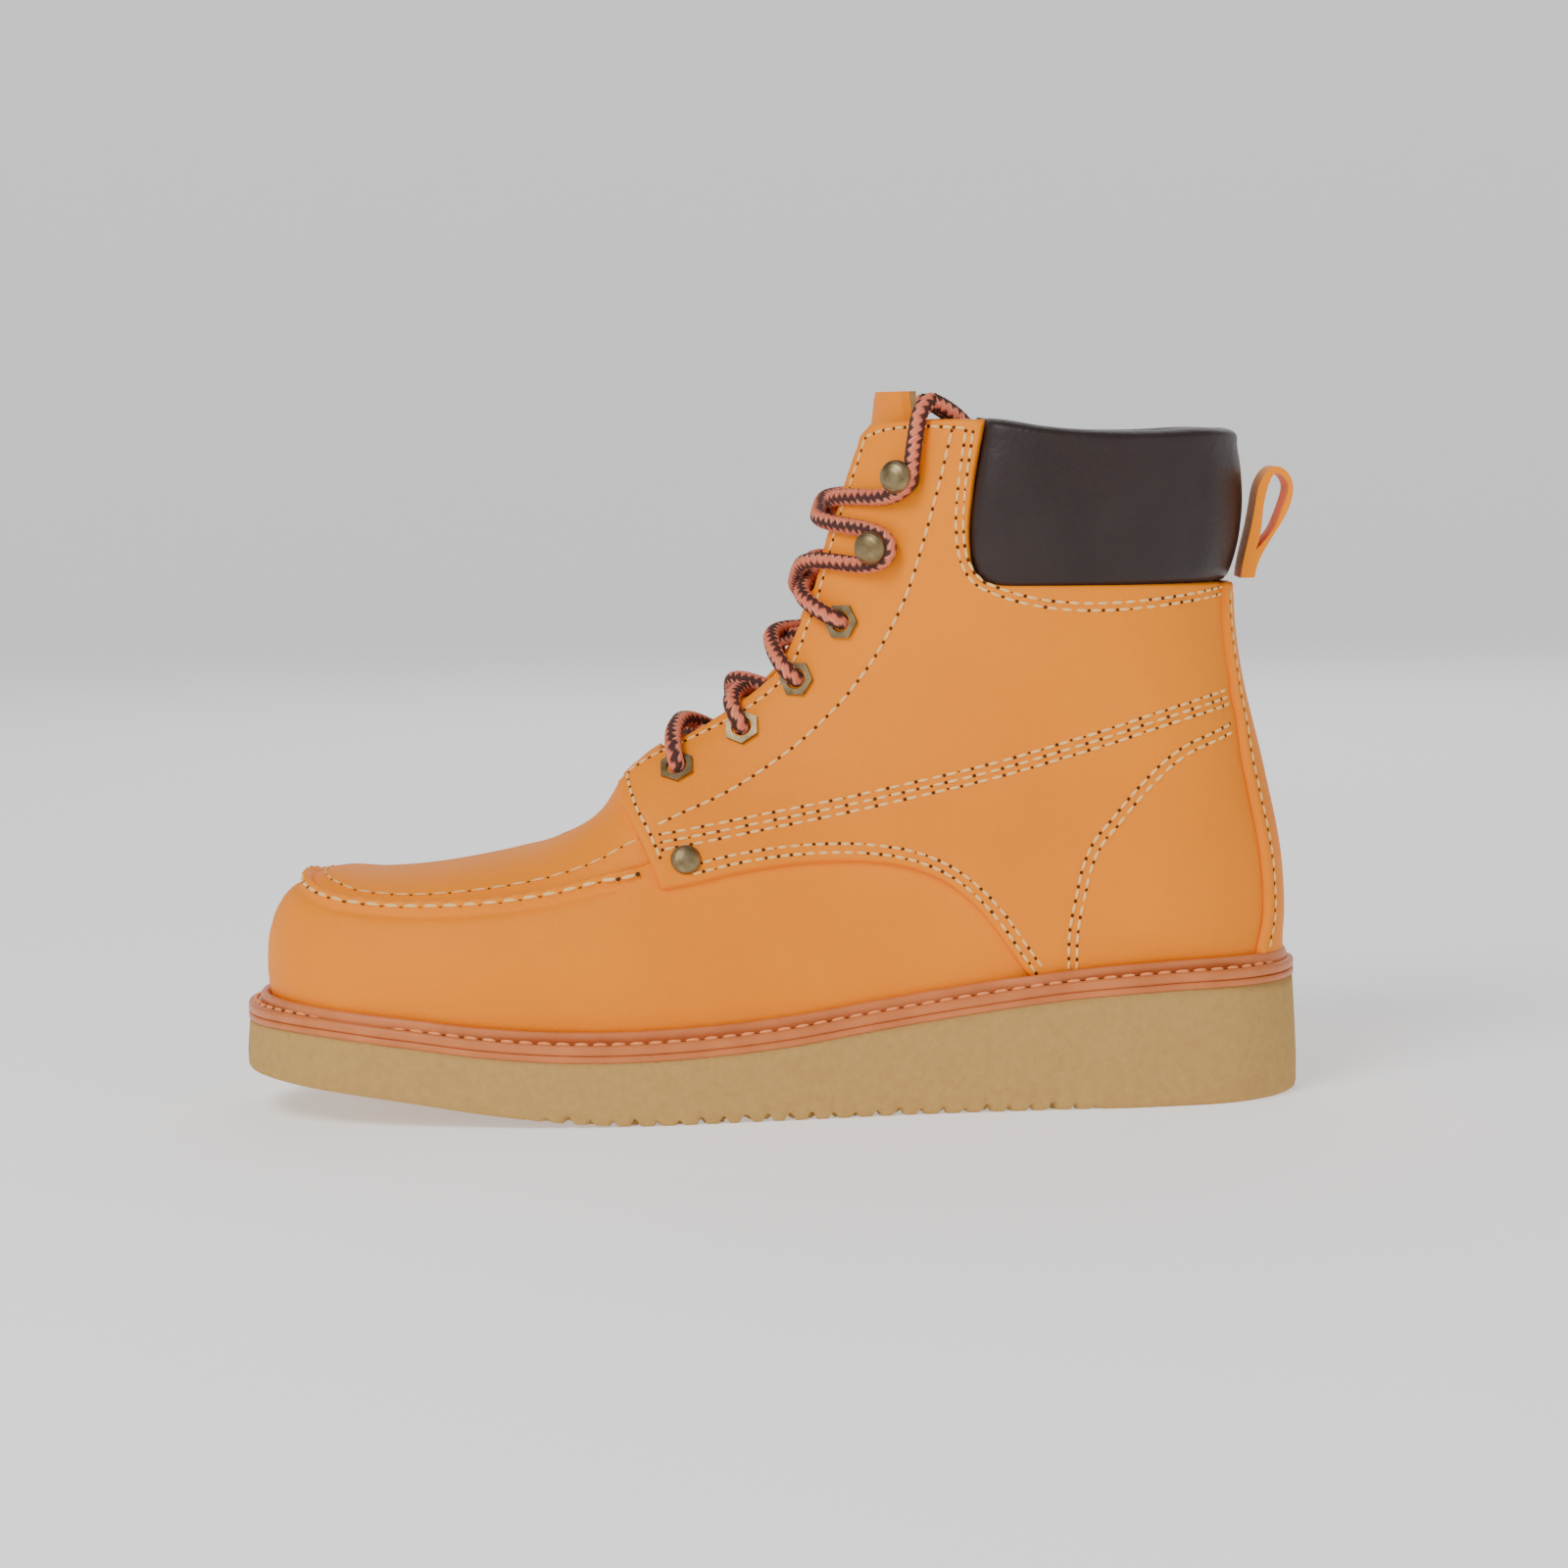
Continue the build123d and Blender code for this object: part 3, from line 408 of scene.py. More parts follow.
wheat = mottled("upper_leather", (0.92, 0.245, 0.0), (1.0, 0.285, 0.0), 16, 0.55, 0.35, 700, 0.0006, specular=0.16)
collar_leather = mottled("collar_leather", (0.022, 0.013, 0.012), (0.034, 0.021, 0.020), 30, 0.42, 0.4, 500, 0.0007)
crepe = mottled("sole_crepe", (0.50, 0.295, 0.088), (0.56, 0.335, 0.105), 400, 0.9, 0.7, 900, 0.0008)
salmon = mottled("welt_rubber", (0.56, 0.16, 0.045), (0.68, 0.21, 0.065), 80, 0.4, 0.2, 700, 0.0004)
brass = mottled("antique_brass", (0.17, 0.12, 0.055), (0.34, 0.26, 0.14), 300, 0.45, 0.15, 900, 0.0003)
brass.node_tree.nodes["Principled BSDF"].inputs["Metallic"].default_value = 1.0
thread = mottled("cream_thread", (0.95, 0.56, 0.17), (1.0, 0.66, 0.24), 600, 0.7, 0.5, 2500, 0.0003)
orange_thread = mottled("welt_thread", (0.95, 0.32, 0.10), (1.0, 0.42, 0.16), 600, 0.7, 0.5, 2500, 0.0003)
# Painted shade: the needle-hole marks are coloured dark for the shade inside the holes.
hole_painted_shade = mottled("needle_hole_painted_shade", (0.06, 0.015, 0.004), (0.10, 0.03, 0.008), 600, 0.9, 0.2, 900, 0.0002)
lining = mottled("lining_fabric", (0.32, 0.17, 0.06), (0.44, 0.25, 0.10), 400, 0.95, 0.6, 1400, 0.0006)
steel = mottled("steel", (0.30, 0.30, 0.31), (0.46, 0.46, 0.47), 90, 0.4, 0.1, 600, 0.0003)
board = mottled("fibre_board", (0.40, 0.26, 0.14), (0.52, 0.36, 0.20), 200, 0.9, 0.4, 900, 0.0004)
rubber = mottled("bumper_rubber", (0.01, 0.01, 0.01), (0.02, 0.02, 0.02), 200, 0.8, 0.3, 700, 0.0004)
aglet_finish = mottled("aglet_plastic", (0.06, 0.02, 0.015), (0.10, 0.03, 0.02), 200, 0.25, 0.05, 900, 0.0002)

# ---------------------------------------------------------------- camera and light
camera = bpy.data.objects.new("camera", bpy.data.cameras.new("camera"))
bpy.context.scene.collection.objects.link(camera)
camera.data.lens = 95.1
camera.matrix_world = (Matrix.Translation((0.0073, -1.2, 0.199)) @ Matrix.Rotation(np.radians(1.2), 4, "Y")
                       @ Matrix.Rotation(np.radians(90 - 5.14), 4, "X"))
bpy.context.scene.camera = camera


def area_light(name, at, towards, size, power):
    """A square lamp of a size in metres, turned towards a point."""
    lamp = bpy.data.lights.new(name, "AREA")
    lamp.size, lamp.energy = size, power
    piece = bpy.data.objects.new(name, lamp)
    piece.location = at
    piece.rotation_euler = (Vector(towards) - Vector(at)).to_track_quat("-Z", "Y").to_euler()
    bpy.context.scene.collection.objects.link(piece)


area_light("key", (-0.75, -1.15, 1.35), (0, 0, 0.08), 0.8, 22)
area_light("fill", (1.1, -1.0, 0.9), (0, 0, 0.08), 1.2, 3)
area_light("back", (0.2, 1.4, 1.2), (0, 0, 0.1), 1.4, 9)
world = bpy.data.worlds.new("studio")
world.use_nodes = True
world.node_tree.nodes["Background"].inputs["Color"].default_value = (1, 1, 1, 1)
world.node_tree.nodes["Background"].inputs["Strength"].default_value = 0.25
bpy.context.scene.world = world
FLOOR_GLOW = 0.45
floor_finish, _, shader = new_material("floor")
shader.inputs["Base Color"].default_value = (0.92, 0.92, 0.92, 1)
shader.inputs["Roughness"].default_value = 0.9
shader.inputs["Emission Color"].default_value = (1, 1, 1, 1)
shader.inputs["Emission Strength"].default_value = FLOOR_GLOW
FLAT, RISE, AROUND = 2.6, 1.8, 48  # the floor is flat this far out, in metres, and then rises in an arc
rising = np.linspace(0.1, 1.5, 10)
bowl = [(1.0, 0.0), (FLAT, 0.0), *zip(FLAT + RISE * np.sin(rising), RISE - RISE * np.cos(rising))]
turn = np.arange(AROUND) / AROUND * 2 * np.pi
points = np.concatenate([np.column_stack([r * np.cos(turn), r * np.sin(turn), np.full(AROUND, h)]) for r, h in bowl])
points = np.vstack([[(0.0, 0.0, 0.0)], points])
faces = [(0, 1 + k, 1 + (k + 1) % AROUND) for k in range(AROUND)]
faces += [[i + 1 for i in f] for f in grid_faces(len(bowl), AROUND, wrap_columns=True)]
data = bpy.data.meshes.new("floor")
data.from_pydata(points.tolist(), [], faces)
data.polygons.foreach_set("use_smooth", np.full(len(data.polygons), True))
data.materials.append(floor_finish)
floor = bpy.data.objects.new("floor", data)
bpy.context.scene.collection.objects.link(floor)


# ---------------------------------------------------------------- sole
def outline(margin, count=1120):
    """The sole's plan outline moved inwards by margin, evenly spaced: smooth through its half widths."""
    shrink = (SOLE_HALF - margin) / SOLE_HALF
    outer = [(x * shrink, margin - w) for x, w in SOLE_OUTER]
    inner = [(x * shrink, w - margin) for x, w in reversed(SOLE_INNER)]
    ends = [(margin - SOLE_HALF, 0)], [(SOLE_HALF - margin, 0)]
    p = np.array(ends[0] + outer + ends[1] + inner)
    p = np.vstack([p[-4:], p, p[:5]])
    run = np.r_[0, np.cumsum(np.linalg.norm(np.diff(p, axis=0), axis=1))]
    at = np.linspace(run[4], run[-5], count + 1)[:-1]
    return hermite(run, p, at)


def swept_ring(name, sections, material):
    """A closed band: each section is a grid row round the outline, from the inside over the top to the outside."""
    rings = np.stack(sections, 1)
    rows, columns = rings.shape[:2]
    return recalculated(mesh(name, rings, grid_faces(rows, columns, wrap_rows=True, wrap_columns=True), material))


def ring_at(margin, base, lift):
    """The outline at a margin, at a height over a profile line."""
    p = outline(margin)
    return np.column_stack([p, profile(base, p[:, 0]) + lift])


def upper_ring(lift, out):
    """Where the upper meets a height over the sole's top, moved outwards, matched to the outline's points."""
    p = outline(7.0)
    z = profile(SOLE_TOP, p[:, 0]) + lift
    centre = np.clip(p[:, 0], -100, 105)
    direction = np.column_stack([p[:, 0] - centre, p[:, 1], np.zeros(len(p))])
    direction /= np.linalg.norm(direction, axis=1, keepdims=True)
    hit = outward(np.column_stack([centre, np.zeros(len(p)), z]), direction)
    rear = np.clip((p[:, 0] - 66) / 10, 0, 1)
    return hit + direction * (out + rear * QUARTER_OUT)[:, None]


def capped(name, rings, material):
    """A closed body from rings stacked bottom to top, each end closed towards the middle line."""
    rows = np.stack(rings, 0)
    first, last = rows[0].copy(), rows[-1].copy()
    first[:, 1] = 0
    last[:, 1] = 0
    grid = np.concatenate([first[None], rows, last[None]], 0)
    n, m = grid.shape[:2]
    return recalculated(mesh(name, grid, grid_faces(n, m, wrap_columns=True), material))


wave = outline(0.0)
along = np.arange(len(wave)) / len(wave)
random = np.random.default_rng(7)
NOTCH = 2.2  # how far the studs' gaps reach up the wall
ragged = 0.35 * np.repeat(random.uniform(-1, 1, len(wave) // 10), 10)
rings = []
TREAD_DEPTH = 2.2
WALL = [(3.2, 0.0), (2.6, 0.0), (1.4, 0.0), (0.5, 0.02), (0.2, 0.06), (0.1, 0.3), (0.4, 0.6), (0.8, 0.9), (1.0, 1.0)]
for margin, share in WALL:  # the wall's inset and its share of the height
    p = outline(margin)
    low, high = np.maximum(profile(GROUND, p[:, 0]), 0), profile(SOLE_TOP, p[:, 0])
    studded = np.clip((p[:, 0] + 70) / 12, 0, 1) * np.clip((95 - p[:, 0]) / 12, 0, 1)
    notch = studded * (1 - share) ** 6 * NOTCH * np.clip(np.sin(along * 2 * np.pi * 112) + ragged, 0, 1)
    low = low + (TREAD_DEPTH if margin > 3 else notch)
    rings.append(np.column_stack([p, low + (high - low) * share]))
outsole = capped("outsole_wedge", rings, crepe)
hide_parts("outsole")
x = np.linspace(-147.0, 147.0, 330)[:, None]
v = np.linspace(-1, 1, 110)[None, :]
half = np.where(v < 0, profile(SOLE_OUTER, x), profile(SOLE_INNER, x)) - 3.5
y = v * half
# The tread's height is its depth * (1 - clip(0.5 + 1.6 sin(x / 1.3 + y / 2.2) sin(x / 1.3 - y / 2.2))) over the ground.
stud = np.clip(0.5 + 1.6 * np.sin(x / 1.3 + y / 2.2) * np.sin(x / 1.3 - y / 2.2), 0, 1)
ground = np.maximum(profile(GROUND, x), 0) + 0 * y
tread = slab("outsole_tread", np.stack([x + 0 * y, y, ground + TREAD_DEPTH + 0.3], -1),
             np.stack([x + 0 * y, y, ground + 0.05 + (TREAD_DEPTH - 0.6) * (1 - stud)], -1), crepe)
midsole = capped("midsole_layer", [ring_at(1.0, SOLE_TOP, 0.05), ring_at(0.6, SOLE_TOP, 0.5), ring_at(0.6, SOLE_TOP, 1.7),
                                   ring_at(0.9, SOLE_TOP, MIDSOLE)], salmon)
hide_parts("midsole")
top = MIDSOLE + WELT
welt = swept_ring("storm_welt_strip", [
    upper_ring(MIDSOLE, 0.15), upper_ring(top, 0.15), ring_at(1.6, SOLE_TOP, top), ring_at(0.9, SOLE_TOP, top - 0.2),
    ring_at(0.6, SOLE_TOP, top - 0.8), ring_at(0.6, SOLE_TOP, MIDSOLE + 0.7), ring_at(1.0, SOLE_TOP, MIDSOLE + 0.1)], salmon)
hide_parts("storm_welt")
bead_sections = [upper_ring(top - 0.3, 0.1)]
for a in np.linspace(0, np.pi, 9):
    bead_sections.append(upper_ring(top + BEAD * 0.9 * np.sin(a) ** 0.8, 0.15 + 1.6 * (1 - np.cos(a))))
bead_sections.append(upper_ring(top - 0.3, 3.3))
bead = swept_ring("storm_welt_bead", bead_sections, salmon)
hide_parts("welt_bead")

# ---------------------------------------------------------------- vamp and apron
SPINE_FRONT = -98.0  # the toe's rays fan out from here
MOC_PITCH = 5.6
SEAM = np.array([(-136.0, 70.4), (-133.5, 68.6), (-129.0, 66.2), (-122.0, 64.2), (-110.0, 62.6), (-92.0, 62.4),
                 (-62.0, 65.6), (-38.0, 71.5), (-10.0, 78.0)])


def spine_rays(rear, count):
    """Ray feet and directions from the outer rear round the toe to the inner rear."""
    straight = np.linspace(rear, SPINE_FRONT, count)[:-1]
    turn = np.linspace(-np.pi / 2, -3 * np.pi / 2, count)
    feet = np.r_[straight, np.full(count, SPINE_FRONT), straight[::-1]]
    angle = np.r_[np.full(count - 1, -np.pi / 2), turn, np.full(count - 1, np.pi / 2)]
    origin = np.column_stack([feet, np.zeros(len(feet)), np.zeros(len(feet))])
    return origin, np.column_stack([np.cos(angle), np.sin(angle), np.zeros(len(feet))])


def at_height(origin, direction, z):
    """Where level rays at heights z leave the surface."""
    o = np.broadcast_to(origin[:, None], (len(origin), z.shape[1], 3)).copy()
    o[..., 2] = z
    return outward(o, np.broadcast_to(direction[:, None], o.shape))


def seam_height(origin, direction):
    """The height on each ray's plane at which the surface meets the seam line."""
    low = np.full((len(origin), 1), 45.0)
    high = np.full((len(origin), 1), 90.0)
    for _ in range(24):
        z = (low + high) / 2
        p = at_height(origin, direction, z)
        below = (z < profile(SEAM, p[..., 0])) & (np.linalg.norm(p[..., :2] - origin[:, None, :2], axis=-1) > 0.5)
        low, high = np.where(below, z, low), np.where(below, high, z)
    return low


VAMP_REAR = np.array([(-30.0, 74.0), (-10.0, 75.0), (20.0, 75.5), (40.0, 73.0), (50.0, 68.5), (58.0, 62.0), (64.0, 55.0),
                      (69.0, 48.0), (74.0, 41.0), (78.0, 37.0)])
origin, direction = spine_rays(76.0, 120)
seam_z = seam_height(origin, direction)
seam_z = np.where(origin[:, :1] > -30, profile(VAMP_REAR, origin[:, :1]), seam_z)
foot_z = profile(SOLE_TOP, origin[:, 0])[:, None] + top - 1.0
share = np.linspace(0, 1, 46)[None, :]
z = foot_z + (seam_z - foot_z) * (1 - (1 - share) ** 1.25)
base = at_height(origin, direction, z)
n = normal(base)
# The moc seam's ridge: 1.9 exp(-((d - 1.2) / 1.4)^2) - 0.7 exp(-((d - 4.6) / 1.3)^2), d the distance under the seam,
# drawn in and out by a fifth with each stitch, and gone where the quarters cover it.
from_seam_wall = np.linalg.norm(base[:, -1:] - base, axis=-1)
ridge = 1.9 * np.exp(-((from_seam_wall - 1.2) / 1.4) ** 2) - 0.7 * np.exp(-((from_seam_wall - 4.6) / 1.3) ** 2)
fade = np.clip((-34 - base[:, :, 0]) / 8, 0, 1)
seam_run = np.cumsum(np.linalg.norm(np.diff(base[:, -1], axis=0, prepend=base[:1, -1]), axis=1))
puckered = 1 + 0.18 * np.sin(seam_run / MOC_PITCH * 2 * np.pi)
height = ridge * fade * puckered[:, None]
height[:, -1] -= 1.4 * fade[:, -1]
vamp = slab("vamp_leather", base + n * height[..., None], base - n * (LEATHER - 0.2), wheat)
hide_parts("vamp")

inner = np.linspace(0, 1, 44)[None, :, None]
seam_points = base[:, -1]
use = origin[:, 0] <= -30
o, s = origin[use], seam_points[use]
flat = s[:, None, :2] * (1 - inner) + o[:, None, :2] * inner


def on_top(xy):
    """The top of the surface over plan points, by halving the height between the seam's foot and the sky."""
    low = np.full(xy.shape[:-1], 50.0)
    high = np.full(xy.shape[:-1], 110.0)
    for _ in range(26):
        z = (low + high) / 2
        inside_it = np.abs(xy[..., 1]) < half_width(xy[..., 0], z, np.sign(xy[..., 1]))
        low, high = np.where(inside_it, z, low), np.where(inside_it, high, z)
    return np.concatenate([xy, low[..., None]], -1)


base_top = on_top(flat)
n_top = normal(base_top)
n_top[:, -1] = n_top[:, -3]
from_seam = np.linalg.norm(base_top - base_top[:, :1], axis=-1)
dip = -0.4 - 0.5 * np.exp(-((from_seam - 2.0) / 2.0) ** 2)
apron = slab("apron_leather", base_top + n_top * dip[..., None], base_top - n_top * (LEATHER + 0.4), wheat)
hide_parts("apron")

# ---------------------------------------------------------------- stitching
def capsules(name, starts, ends, normals, radius, flat, material, body="boot"):
    """One small rounded bar from each start to its end: 8 round by 5 along, all in one object."""
    rings, around = 5, 8
    t = np.linspace(0.06, 0.94, rings)
    a = np.arange(around) / around * 2 * np.pi
    along = ends - starts
    across = np.cross(along, normals)
    across /= np.linalg.norm(across, axis=1, keepdims=True) + 1e-9
    r = radius * (1 - np.abs(2 * t - 1) ** 3) ** 0.5
    ring = (across[:, None, None] * np.cos(a)[None, None, :, None]
            + normals[:, None, None] * flat * np.sin(a)[None, None, :, None])
    p = starts[:, None, None] + along[:, None, None] * t[None, :, None, None] + ring * r[None, :, None, None]
    p = np.concatenate([starts[:, None], p.reshape(len(starts), -1, 3), ends[:, None]], 1)
    size = rings * around + 2
    unit = grid_faces(rings, around, wrap_columns=True, start=1)
    unit += [(0, 1 + (k + 1) % around, 1 + k) for k in range(around)]
    unit += [(size - 1, size - 1 - around + k, size - 1 - around + (k + 1) % around) for k in range(around)]
    faces = [[i + n * size for i in f] for n in range(len(starts)) for f in unit]
    return recalculated(mesh(name, p, faces, material, body))


def stitch_ends(line, lift, pitch, share=0.74):
    """Starts, ends and normals of stitches along a plane line, and the points between them."""
    p, n = lift(resampled(line, 0.5))
    run = np.r_[0, np.cumsum(np.linalg.norm(np.diff(p, axis=0), axis=1))]
    count = max(int(run[-1] / pitch), 1)
    at = np.arange(count) * run[-1] / count
    middle = read_along(at + pitch / 2, run, n)
    return (read_along(at + pitch * (1 - share) / 2, run, p), read_along(at + pitch * (1 + share) / 2, run, p),
            middle / np.linalg.norm(middle, axis=1, keepdims=True), read_along(at, run, p), read_along(at, run, n))


def sewn(name, rows, radius=0.46, material=thread, body="boot"):
    """Stitches, and flat dark marks of painted shade at their needle holes, for rows of (line, lift, pitch)."""
    parts = [stitch_ends(*row) for row in rows]
    starts, ends, normals, holes, hole_normals = (np.vstack([p[k] for p in parts]) for k in range(5))
    capsules(name, starts + normals * 0.12, ends + normals * 0.12, normals, radius, 0.85, material, body)
    # The needle holes are flat dark marks laid on the leather: painted shade, not real holes.
    tangent = np.cross(hole_normals, np.array([0.3, 0.2, 1.0]))
    tangent /= np.linalg.norm(tangent, axis=1, keepdims=True)
    size = radius * 1.1
    capsules(name + "_hole_painted_shade", holes - tangent * size, holes + tangent * size, hole_normals, size, 0.12, hole_painted_shade, body)


def raised(side, height):
    """A lift that lays unrolled points at a height over the surface."""
    def lift(v):
        """Places and normals, this high over the leather, for points v of its unrolled plane."""
        p, n = laid(np.asarray(v), side)
        return p + n * height, n
    return lift


# ---------------------------------------------------------------- quarters
FACING_EDGE = [(-43.0, 93.1), (-42.0, 97.5), (-36.8, 102.0), (-30.0, 106.3), (-22.0, 111.6), (-13.5, 118.0), (-6.0, 125.0),
               (1.0, 133.0), (7.5, 143.0), (12.5, 153.0), (16.5, 163.5), (20.0, 173.5), (24.5, 184.0), (28.5, 191.0)]
FLAP_FRONT = [(-30.4, 65.1), (-32.0, 69.5), (-35.0, 76.4), (-38.5, 83.5), (-41.6, 89.0)]
QUARTER_LOW = [(73.4, 37.6), (68.7, 44.4), (63.9, 51.6), (58.0, 58.6), (49.9, 65.1), (39.8, 69.3), (29.6, 71.0),
               (14.2, 71.4), (-7.3, 69.3), (-21.3, 66.5)]
COLLAR_EDGE = [(63.6, 195.6), (60.2, 176.5), (58.9, 160.0), (59.8, 153.6), (62.8, 150.2), (68.0, 149.2), (134.3, 148.0)]
BACK_EDGE = [(134.0, 147.7), (131.7, 123.5), (132.1, 114.7), (133.3, 108.5), (134.3, 99.4), (137.1, 84.3), (139.4, 72.2),
             (140.5, 59.8), (140.3, 50.9), (138.2, 42.0)]
FACING_ROW = [(-30.3, 73.5), (-33.6, 81.2), (-36.1, 85.8), (-37.9, 91.1), (-38.7, 96.3), (-35.5, 100.2), (-32.2, 103.0),
              (-23.0, 109.2), (-15.5, 114.6), (-6.0, 122.6), (3.0, 132.6), (10.0, 144.0), (15.5, 156.0), (19.5, 167.0),
              (23.5, 177.6), (26.6, 184.0), (30.0, 189.3), (35.3, 192.3), (42.7, 193.6), (59.0, 193.3)]
EYESTAY_ROW = [(54.9, 192.5), (50.7, 176.3), (48.3, 168.1), (45.7, 159.5), (43.4, 152.1), (40.5, 144.6), (36.7, 136.9),
               (32.8, 130.0), (27.9, 123.0), (22.8, 116.6), (17.4, 111.1), (10.9, 105.2), (1.0, 98.0), (-9.4, 91.7),
               (-16.7, 88.2), (-24.2, 85.2), (-31.4, 81.9)]
TRIPLE_ROW = [(-30.3, 79.6), (-18.1, 81.6), (-2.3, 84.4), (13.8, 87.3), (29.9, 90.6), (45.8, 94.2), (69.2, 100.0),
              (84.2, 104.3), (95.8, 107.6), (109.9, 111.8), (121.3, 114.7), (130.6, 116.9)]
COUNTER_ROW = [(131.5, 107.0), (126.9, 105.3), (117.7, 101.8), (112.7, 98.4), (108.4, 94.5), (103.8, 89.7), (97.2, 81.8),
               (92.4, 75.9), (89.3, 68.8), (87.1, 59.7), (85.3, 51.4), (84.6, 39.0)]
COLLAR_ROW = [(58.7, 192.5), (56.1, 175.7), (55.4, 165.8), (55.8, 159.4), (57.6, 153.3), (61.6, 148.6), (64.9, 147.1),
              (133.0, 144.6)]
welt_line = [(float(x), float(profile(SOLE_TOP, x)) + top - 0.6) for x in (140.0, 130.0, 115.0, 100.0, 85.0)]


def clear_of_gap(line, side, extra=0.0):
    """Points moved back until they lie 8 + 0.03 z millimetres and extra from the middle, where the tongue shows."""
    p = resampled(line, 1.2)
    for _ in range(160):
        narrow = half_width(p[:, 0], p[:, 1], side) < 8 + 0.03 * p[:, 1] + extra
        p[narrow, 0] += 0.25
    return p


def quarter_outline(side):
    """A quarter's cut edge, unrolled: flap, facing, top, collar's edge, back, feather line and lower edge."""
    rear = unrolled(BACK_EDGE, side) + (0.5, 0)
    rear[:, 0] = np.minimum(rear[:, 0], HEEL_X + HEEL_ROUND * np.pi / 2 - 9)
    return np.vstack([
        resampled(FLAP_FRONT, 1.2), clear_of_gap(FACING_EDGE, side), [(34.0, 195.2), (46.0, 195.8), (56.0, 195.9)],
        resampled(COLLAR_EDGE[:6], 1.2), [(132.0, 148.0)], resampled(rear, 3.0), unrolled(welt_line, side),
        resampled(QUARTER_LOW, 1.2)])


for name, side in (("lateral", -1.0), ("medial", 1.0)):
    triple = unrolled(TRIPLE_ROW, side)
    counter = unrolled(COUNTER_ROW, side)
    collar_row = unrolled(COLLAR_ROW, side)
    # Each row of stitches and its pitch.
    rows = [(clear_of_gap(FACING_ROW, side, 2.6), 3.8), (EYESTAY_ROW, 4.4),
            (triple, 4.1), (beside(triple, -2.1), 4.1), (beside(triple, -4.1), 4.1),
            (counter, 4.0), (beside(counter, 2.3), 4.0), (collar_row, 4.0), (beside(collar_row, 2.0), 4.0),
            (beside(QUARTER_LOW, -2.4), 3.6), (beside(QUARTER_LOW, -4.8), 3.6)]
    rows = [(np.asarray(line, float), pitch) for line, pitch in rows]

    def relief(v, rows=rows):
        """Height over a panel: -0.3 exp(-(d / 0.8)^2), d the distance to the nearest row of stitches."""
        d = np.min([distance_to(resampled(line, 2.0), v) for line, _ in rows], axis=0)
        return -0.3 * np.exp(-((d / 0.8) ** 2))

    lines = [(line, (-1.3, -0.45, 0.45, 1.3)) for line, _ in rows[:2] + rows[5:6]]
    piece = cut_panel(f"quarter_leather_{name}", quarter_outline(side), 1.7, raised(side, 0.1), LEATHER, wheat,
                      relief, lines)
    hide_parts(f"quarter_{name}")
    sewn(f"quarter_stitches_{name}", [(line, raised(side, QUARTER_OUT - 0.2), pitch) for line, pitch in rows])

# ---------------------------------------------------------------- vamp ridge stitches
keep = origin[:, 0] < -36


def along3(line, heights):
    """A lift for positions along a ready line in space."""
    run = np.r_[0, np.cumsum(np.linalg.norm(np.diff(line, axis=0), axis=1))]
    nn = normal(line)

    def lift(v):
        """Places and normals for positions v[:, 0] along the line."""
        s = np.clip(np.asarray(v)[:, 0], 0, run[-1])
        p, m = read_along(s, run, line), read_along(s, run, nn)
        m /= np.linalg.norm(m, axis=1, keepdims=True)
        return p + m * heights, m
    return [(0.0, 0.0), (float(run[-1]), 0.0)], lift


from_end = np.abs(from_seam_wall - 2.3).argmin(axis=1)
outer_line = base[np.arange(len(base)), from_end][keep]
line, lift = along3(outer_line, 1.0)
line_in, lift_in = along3(base_top[:, 5], -0.35)
sewn("moc_stitches", [(line, lift, MOC_PITCH)], radius=0.62)
sewn("moc_stitches_inner", [(line_in, lift_in, MOC_PITCH)], radius=0.34)

# ---------------------------------------------------------------- welt stitches
flat_line = ring_at(2.6, SOLE_TOP, top + 0.05)
flat_line = np.vstack([flat_line, flat_line[:1]])
run = np.r_[0, np.cumsum(np.linalg.norm(np.diff(flat_line, axis=0), axis=1))]


def welt_lift(v):
    """Points along the welt's flat, whose normal is up."""
    s = np.asarray(v)[:, 0]
    p = read_along(s, run, flat_line)
    return p, np.tile([0.0, 0.0, 1.0], (len(p), 1))


sewn("welt_stitches", [([(0.0, 0.0), (float(run[-1]), 0.0)], welt_lift, 5.2)], radius=0.62, material=orange_thread)

# ---------------------------------------------------------------- collar
RIM = [(58.0, 196.2), (64.0, 195.6), (78.0, 193.4), (95.0, 191.9), (110.0, 191.5), (125.0, 192.0), (140.0, 191.2)]
EDGE_X = [(148.0, 66.0), (149.6, 63.6), (152.0, 60.9), (156.0, 59.4), (164.0, 58.8), (176.5, 60.2), (186.0, 62.0),
          (196.5, 63.9)]


